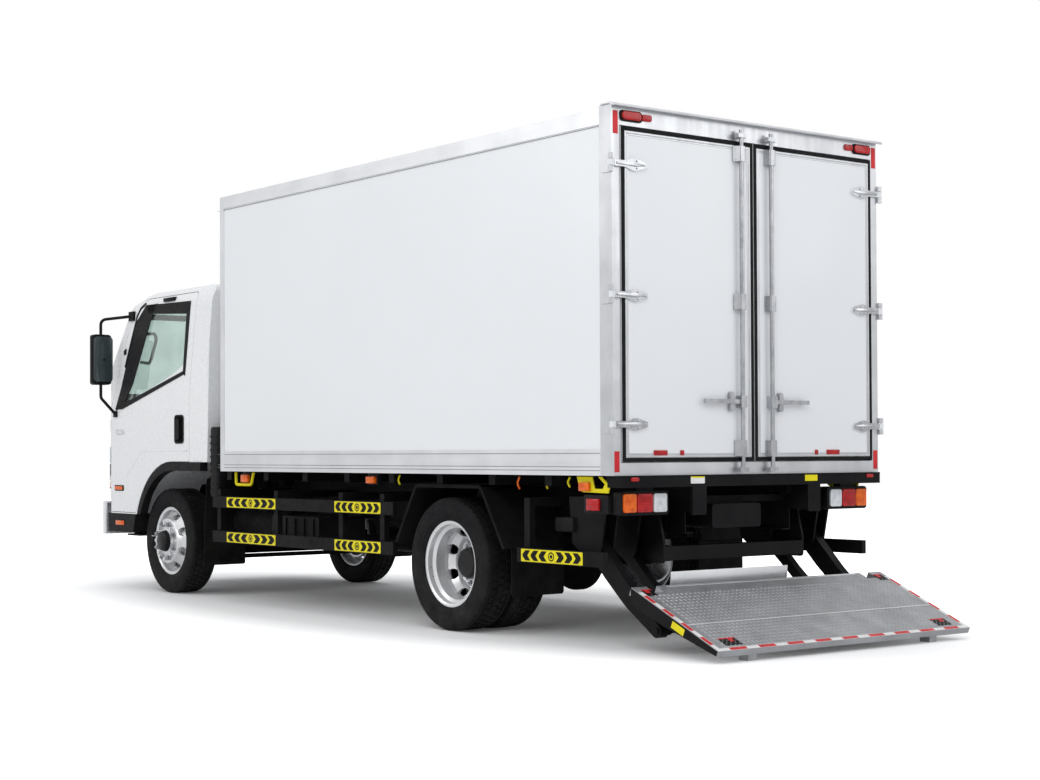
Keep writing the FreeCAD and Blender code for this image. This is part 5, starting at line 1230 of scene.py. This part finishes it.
def sideLamps():
    y = under["lampY"]
    marker = block("lens", at(0.819, y, 0.885), at(0.911, y + 0.03, 0.93), 0.005)
    base = block("base", at(0.805, y - 0.03, 0.876), at(0.925, y + 0.004, 0.948), 0.003)
    bothSides(marker, "boxMarker", "chassis", "lamp", "amberLens", "marker_lamps")
    bothSides(base, "boxMarkerBase", "chassis", "black_plastic", "trimPlastic")
    loop = bentRod("loop", [at(2.66, y, 0.945), at(2.655, y, 0.857), at(2.44, y, 0.857), at(2.405, y, 0.945)],
                   0.011, 0.02)
    bothSides(loop, "loopBracket", "chassis", "chassis", "reflectYellow")
    amber = block("frontMarker", at(2.462, y - 0.004, 0.874), at(2.56, y + 0.022, 0.93), 0.006)
    bothSides(amber, "frontMarker", "chassis", "lamp", "amberLens")
    back = block("back", at(2.45, y - 0.03, 0.868), at(2.572, y - 0.002, 0.95), 0.003)
    bothSides(back, "frontMarkerBase", "chassis", "black_plastic", "trimPlastic")
    hanger = plate("rearBracket", [at(-1.19, y, 0.946), at(-1.215, y, 0.872), at(-1.24, y, 0.86),
                                   at(-1.455, y, 0.856), at(-1.468, y, 0.9),
                                   at(-1.40, y, 0.946), at(-1.37, y, 0.946), at(-1.425, y, 0.905),
                                   at(-1.41, y, 0.88), at(-1.34, y, 0.88),
                                   at(-1.32, y, 0.946)], (0, 0.008, 0), 0.001)
    bothSides(hanger, "rearBracket", "chassis", "chassis", "reflectYellow")
    amber = block("rearSideLamp", at(-1.31, y + 0.008, 0.866), at(-1.222, y + 0.026, 0.915), 0.005)
    bothSides(amber, "rearSideLamp", "chassis", "lamp", "amberLens")
    red = block("rearSideRed", at(-1.397, y + 0.012, 0.76), at(-1.293, y + 0.032, 0.826), 0.006)
    bothSides(red, "rearSideRed", "chassis", "lamp", "redLens")
    box = block("rearSideBox", at(-1.46, y - 0.045, 0.742), at(-1.255, y + 0.014, 0.846), 0.006)
    bothSides(box, "rearSideBox", "chassis", "black_plastic", "trimPlastic")
    for name, x, z0, z1, finish in (("hookA", -0.629, 0.868, 0.94, "amberLens"),
                                    ("hookB", -0.888, 0.875, 0.94, "reflectYellow"),
                                    ("hookC", -1.085, 0.885, 0.94, "reflectYellow"),
                                    ("hookD", 0.599, 0.88, 0.94, "reflectYellow")):
        hook = bentRod(name, [at(x - 0.012, y - 0.02, z1), at(x + 0.008, y - 0.02, (z0 + z1) / 2),
                              at(x - 0.012, y - 0.02, z0)], 0.006, 0.012)
        bothSides(hook, name, "chassis", "lamp", finish)
    valveBox = join("sideValve", [block("body", at(-1.06, 0.84, 0.63), at(-0.9, 0.93, 0.712), 0.01),
                                  rod("port", at(-0.9, 0.885, 0.675), at(-0.865, 0.885, 0.675), 0.016, 16)])
    fit(valveBox, "chassis", "black_plastic", "trimPlastic")


def blankLabels():
    # two blank stickers on the rear bar, its small lamps and its top lip
    x = -2.9564
    label = plate("label", roundedOutline("X", x - 0.0012, 0.424, 0.53, 0.905, 0.948, 0.004), (0.001, 0, 0),
                  0.0002, 1)
    fit(label, "chassis", "chassis", "reflectWhite")
    top = plate("labelTop", roundedOutline("X", x - 0.0018, 0.426, 0.528, 0.936, 0.9465, 0.002),
                (0.0005, 0, 0), 0)
    fit(top, "chassis", "chassis", "reflectYellow")
    other = plate("labelRight", roundedOutline("X", x - 0.0012, -0.489, -0.384, 0.908, 0.9505, 0.004),
                  (0.001, 0, 0), 0.0002, 1)
    fit(other, "chassis", "chassis", "reflectYellow")
    lamps = [plate("barLamp", roundedOutline("X", x - 0.006, side * 0.945 - 0.03, side * 0.945 + 0.03, 0.922,
                                             0.943, 0.009), (0.0058, 0, 0), 0.002)
             for side in (1, -1)]
    fit(join("barLamps", lamps), "chassis", "lamp", "redLens")
    seam = block("barLip", (x - 0.003, -1.04, 0.944), (x + 0.004, 1.04, 0.9525), 0.001, 1)
    fit(seam, "chassis", "chassis", "frameBlack")


sideLamps()
blankLabels()
print("side lamps made")

# Lift: side plates, blank sticker and heel lip of the platform, and the ramp plate
def dressLift():
    half = deck["half"]
    skirts = []
    for side in (1, -1):
        y = side * (half + 0.0003)
        outline = [onDeck(0.0, y, -0.004), onDeck(deck["length"] - 0.008, y, -0.004),
                   onDeck(deck["length"] - 0.008, y, -0.03), onDeck(0.3, y, -0.072),
                   onDeck(0.03, y, -0.08)]
        skirts.append(plate("skirt", outline, (0, side * 0.003, 0), 0.0005, 1))
    fit(join("deckSkirts", skirts), "lift_platform_body", "chassis", "liftBlack")
    side = half + 0.0034
    label = deckBlock("deckLabel", 0.36, 0.46, side, side + 0.0008, -0.05, -0.012)
    fit(label, "lift_platform_body", "chassis", "reflectYellow")
    lip = deckBlock("deckLip", 0.002, 0.02, -0.76, 0.76, 0.0003, 0.0018, 0.0005)
    fit(lip, "lift_platform_body", "steel", "railAlloy")
    ramp = plate("rampPlate", [at(-1.545, -0.28, 0.345), at(-1.545, 0.64, 0.345), at(-1.55, 0.64, 0.42),
                               at(-1.55, -0.28, 0.42)], (-0.006, 0, 0), 0.001)
    fit(ramp, "lift_carriage_body", "aluminium", "railAlloy")


dressLift()
print("lift dressed")

# Steel faces of the cargo door hinges, with their bolts
hinge = {"heights": (1.23, 1.93, 2.64)}


def hingeStraps():
    x = doorFaceX - 0.0116
    for side, name in ((1, "Left"), (-1, "Right")):
        parts = []
        for z in hinge["heights"]:
            outline = [(0.83, -0.013), (0.83, 0.013), (0.905, 0.034), (0.93, 0.033), (0.985, 0.0172),
                       (1.062, 0.0172), (1.062, -0.0172),
                       (0.985, -0.0172), (0.93, -0.033), (0.905, -0.034)]
            parts.append(plate("strap", [(x, side * y, z + rise) for y, rise in outline], (-0.0012, 0, 0),
                               0.0005, 1))
            ridge = [(0.85, -0.004), (0.85, 0.004), (0.91, 0.012), (1.05, 0.007), (1.05, -0.007),
                     (0.91, -0.012)]
            parts.append(plate("ridge", [(x - 0.001, side * y, z + rise) for y, rise in ridge],
                               (-0.0035, 0, 0), 0.0015, 2))
            for y, rise in ((0.9, 0.02), (0.9, -0.02), (0.845, 0.0)):
                parts.append(rod("bolt", (x - 0.001, side * y, z + rise), (x - 0.005, side * y, z + rise),
                                 0.0062, 12, 0.001))
        fit(join("hingeFaces" + name, parts), "cargo_door_" + name.lower() + "_body", "steel", "brightSteel")
        leaves = [block("leaf", (boxRearX - 0.0022, 1.066, z + low), (boxRearX + 0.0005, 1.094, z + high),
                        0.0006, 1)
                  for low, high in ((-0.05, -0.021), (0.021, 0.05)) for z in hinge["heights"]]
        fit(onSide(join("hingeLeaves" + name, leaves), side), "chassis", "steel", "brightSteel")


def railGrooves():
    # painted shade in the three grooves of the extruded bottom rail: thin dark strips; and the rivets along
    # both rails
    lines = [block("line", (boxRearX + 0.11, 1.0609, boxFloorZ + rise),
                   (boxFrontX, 1.0637, boxFloorZ + rise + 0.0035), 0.0, 1)
             for rise in (0.0255, 0.0455, 0.1195)]
    # one more strip of painted shade in a groove of the top rail
    lines.append(block("line", (boxRearX + 0.11, 1.0609, boxTopZ - 0.098),
                       (boxFrontX, 1.0637, boxTopZ - 0.0955), 0.0, 1))
    bothSides(join("railGrooveShade", lines), "railGrooveShade", "chassis", "aluminium", "grooveShade")
    rivets = [rod("rivet", (boxFrontX - 0.06 - index * 0.235, 1.062, z),
                  (boxFrontX - 0.06 - index * 0.235, 1.0655, z), 0.0042, 8, 0.001)
              for index in range(19) for z in (boxFloorZ + 0.098, boxTopZ - 0.02)]
    bothSides(join("railRivets", rivets), "railRivets", "chassis", "steel", "railAlloy")
    post = [rod("rivet", (boxRearX + x, 1.059, 1.0 + index * 0.2), (boxRearX + x, 1.0635, 1.0 + index * 0.2),
                0.0042, 8, 0.001)
            for index in range(10) for x in (0.03, 0.085)]
    bothSides(join("postRivets", post), "postRivets", "chassis", "steel", "frameAlloy")


hingeStraps()
railGrooves()
print("box dressed")

# Air tanks, pipe, intake duct and brake chambers on the chassis
def chassisParts():
    tank = rod("airTank", at(2.42, 0.62, 0.565), at(3.2, 0.62, 0.565), 0.115, 40, 0.02)
    ends = [rod("band", at(x, 0.62, 0.565), at(x + 0.035, 0.62, 0.565), 0.1175, 40, 0.002) for x in (2.56,
            3.02)]
    fit(join("airTank", [tank] + ends), "chassis", "iron", "frameBlack")
    pipe = tubeLoop("chassisPipe", [at(2.9, -0.3, 0.42), at(0.4, -0.3, 0.41), at(0.1, -0.3, 0.46)], 0.03,
                    closed=False)
    fit(pipe, "chassis", "iron", "castIron")
    second = rod("airTankRight", at(2.5, -0.62, 0.4), at(3.1, -0.62, 0.4), 0.095, 36, 0.018)
    fit(second, "chassis", "iron", "frameBlack")
    duct = [block("duct", at(2.93, 0.86, 0.76), at(3.055, 1.0, 1.28), 0.018, 3)]
    duct += [block("rib", at(2.94, 0.995, 0.8 + index * 0.05), at(3.045, 1.006, 0.815 + index * 0.05), 0.002,
                   1) for index in range(9)]
    fit(join("intakeDuct", duct), "chassis", "black_plastic", "trimPlastic")
    chambers = []
    for side in (1, -1):
        chambers.append(rod("chamber", at(0.16, side * 0.33, 0.5), at(0.3, side * 0.33, 0.5), 0.07, 32, 0.01))
        chambers.append(rod("clamp", at(0.225, side * 0.33, 0.5), at(0.24, side * 0.33, 0.5), 0.078, 32,
                            0.003))
    fit(join("brakeChambers", chambers), "chassis", "iron", "castIron")


def unitFront():
    # the cooling unit's air inlet with slats
    x = 1.7528
    bars = [block("bar", (x - 0.002, y0, z0), (x + 0.006, y1, z1), 0.002, 1) for y0, y1, z0, z1 in
            ((-0.62, 0.62, 2.565, 2.59), (-0.62, 0.62, 2.84, 2.865), (-0.62, -0.595, 2.59, 2.84),
             (0.595, 0.62, 2.59, 2.84))]
    fit(join("unitInletFrame", bars), "chassis", "black_plastic", "trimPlastic")
    # painted shade: a dull near-black sheet behind the slats stands in for the shade inside the inlet
    back = block("unitInlet", (x - 0.001, -0.595, 2.59), (x + 0.001, 0.595, 2.84), 0.0, 1)
    fit(back, "chassis", "black_plastic", "cavityShadeBlack")
    slats = []
    for index in range(12):
        z = 2.597 + index * 0.0205
        outline = [(x + 0.001, -0.595, z), (x + 0.0055, -0.595, z + 0.005), (x + 0.0055, -0.595, z + 0.0075),
                   (x + 0.001, -0.595, z + 0.0025)]
        slats.append(plate("slat", outline, (0, 1.19, 0), 0))
    fit(join("unitSlats", slats), "chassis", "black_plastic", "trimPlastic")


chassisParts()
unitFront()
print("chassis dressed")

# Cab inside: padded seats, instrument hood, gear lever and belts
seat = {"voxel": 0.013, "frames": 20, "pressure": 4.0,
        "seats": (("Driver", 0.26, 0.74, (0.5,)), ("Bench", -0.76, 0.1, (-0.545, -0.115)))}


def puffed(obj, cap):
    # swell a closed shape as a filled cover, with no point moving further than the cap
    pick(obj)
    remesh = obj.modifiers.new("even", "REMESH")
    remesh.mode = "VOXEL"
    remesh.voxel_size = seat["voxel"]
    bpy.ops.object.modifier_apply(modifier="even")
    start = [vertex.co.copy() for vertex in obj.data.vertices]
    cover = obj.modifiers.new("cover", "CLOTH")
    cover.settings.use_pressure = True
    cover.settings.uniform_pressure_force = seat["pressure"]
    cover.settings.effector_weights.gravity = 0
    cover.settings.quality = 4
    cover.point_cache.frame_start = 1
    cover.point_cache.frame_end = seat["frames"]
    for step in range(1, seat["frames"] + 1):
        bpy.context.scene.frame_set(step)
    bpy.ops.object.modifier_apply(modifier="cover")
    bpy.context.scene.frame_set(1)
    for vertex, place in zip(obj.data.vertices, start):
        move = vertex.co - place
        if move.length > cap:
            vertex.co = place + move * (cap / move.length)
    fine = obj.modifiers.new("fine", "SUBSURF")
    fine.levels = 1
    pick(obj)
    bpy.ops.object.modifier_apply(modifier="fine")
    return smooth(obj, 60)


def sewChannels(obj, lines, depth, along):
    # press seams into the cover after the simulation; along picks x or z for seams that cross the seat
    normals = [vertex.normal.copy() for vertex in obj.data.vertices]
    for vertex, normal in zip(obj.data.vertices, normals):
        press = 0.0
        for kind, place in lines:
            away = vertex.co.y - place if kind == "y" else vertex.co[along] - place
            press += math.exp(-(away / 0.007) ** 2)
        vertex.co -= normal * depth * min(press, 1.0)
    return obj


def makeSeats():
    pads = []
    for name, y0, y1, heads in seat["seats"]:
        gap = 0.008
        y0, y1 = y0 + gap, y1 - gap
        seams = [("y", y0 + 0.085), ("y", y1 - 0.085)]
        base = plate("cushion" + name, [(frontX + a, y0, z) for a,
                                        z in ((-0.46, 1.2), (-0.46, 1.315), (0.015, 1.32), (0.022, 1.25),
                                              (-0.01, 1.2))],
                     (0, y1 - y0, 0), 0.03, 4)
        puffed(base, 0.012)
        sewChannels(base, seams + [("x", frontX - 0.14), ("x", frontX - 0.3)], 0.005, 0)
        pads.append(base)
        back = plate("back" + name, [(frontX + a, y0, z) for a,
                                     z in ((-0.475, 1.31), (-0.385, 1.335), (-0.505, 1.885),
                                           (-0.595, 1.885))],
                     (0, y1 - y0, 0), 0.032, 4)
        puffed(back, 0.012)
        sewChannels(back, seams + [("z", 1.5), ("z", 1.66)], 0.005, 2)
        pads.append(back)
        for number, middle in enumerate(heads):
            rest = plate("head" + name + str(number),
                         [(frontX + a, middle - 0.115, z) for a,
                          z in ((-0.585, 1.92), (-0.52, 1.92), (-0.515, 2.07), (-0.58, 2.072))],
                         (0, 0.23, 0), 0.025, 4)
            puffed(rest, 0.006)
            pads.append(rest)
            stays = [rod("stay", (frontX - 0.552, middle + shift, 1.88),
                         (frontX - 0.552, middle + shift, 1.935), 0.007, 14) for shift in (-0.06, 0.06)]
            fit(join("headStays" + name + str(number), stays), "cab", "steel", "brightSteel")
        pedestal = block("pedestal" + name, (frontX - 0.43, y0 + 0.05, 1.07),
                         (frontX - 0.05, y1 - 0.05, 1.198), 0.012, 2)
        fit(pedestal, "cab", "black_plastic", "trimPlastic")
    for pad in pads:
        fit(pad, "cab", "seat_fabric", "seatCloth", "seats")
    belts = [tubeLoop("belt", [(frontX - 0.62, side * 0.86, 2.0), (frontX - 0.6, side * 0.84, 1.6),
                               (frontX - 0.5, side * 0.8, 1.2)], 0.008, closed=False)
             for side in (1, -1)]
    fit(join("seatBelts", belts), "cab", "black_plastic", "flapRubber")


def dressDash():
    hood = plate("instrumentHood", [(frontX + a, 0.29, z) for a,
                                    z in ((0.72, 1.47), (0.74, 1.6), (0.8, 1.625), (0.93, 1.56),
                                          (0.96, 1.47))], (0, 0.42, 0), 0.012, 3)
    fit(hood, "cab", "black_plastic", "trimPlastic")
    top = plate("dashPad", [(frontX + a, -0.93, z) for a,
                            z in ((0.8, 1.44), (0.84, 1.53), (0.95, 1.545), (1.0, 1.44))], (0, 1.86, 0),
                0.012, 3)
    fit(top, "cab", "black_plastic", "trimPlastic")
    # painted shade: the vent openings are solid dull near-black blocks
    vents = [block("vent", (frontX + 0.705, y - 0.06, 1.32), (frontX + 0.72, y + 0.06, 1.38),
                   0.004) for y in (-0.75, -0.2, 0.12, 0.85)]
    fit(join("dashVents", vents), "cab", "black_plastic", "cavityShadeBlack")
    lever = [rod("lever", (frontX + 0.3, 0.13, 1.06), (frontX + 0.33, 0.13, 1.33), 0.009, 16),
             rod("knob", (frontX + 0.328, 0.13, 1.31), (frontX + 0.336, 0.13, 1.38), 0.024, 20, 0.01),
             block("gaiter", (frontX + 0.23, 0.06, 1.03), (frontX + 0.38, 0.2, 1.1), 0.02, 3)]
    fit(join("gearLever", lever), "cab", "black_plastic", "trimPlastic")


makeSeats()
dressDash()
print("cab inside dressed")
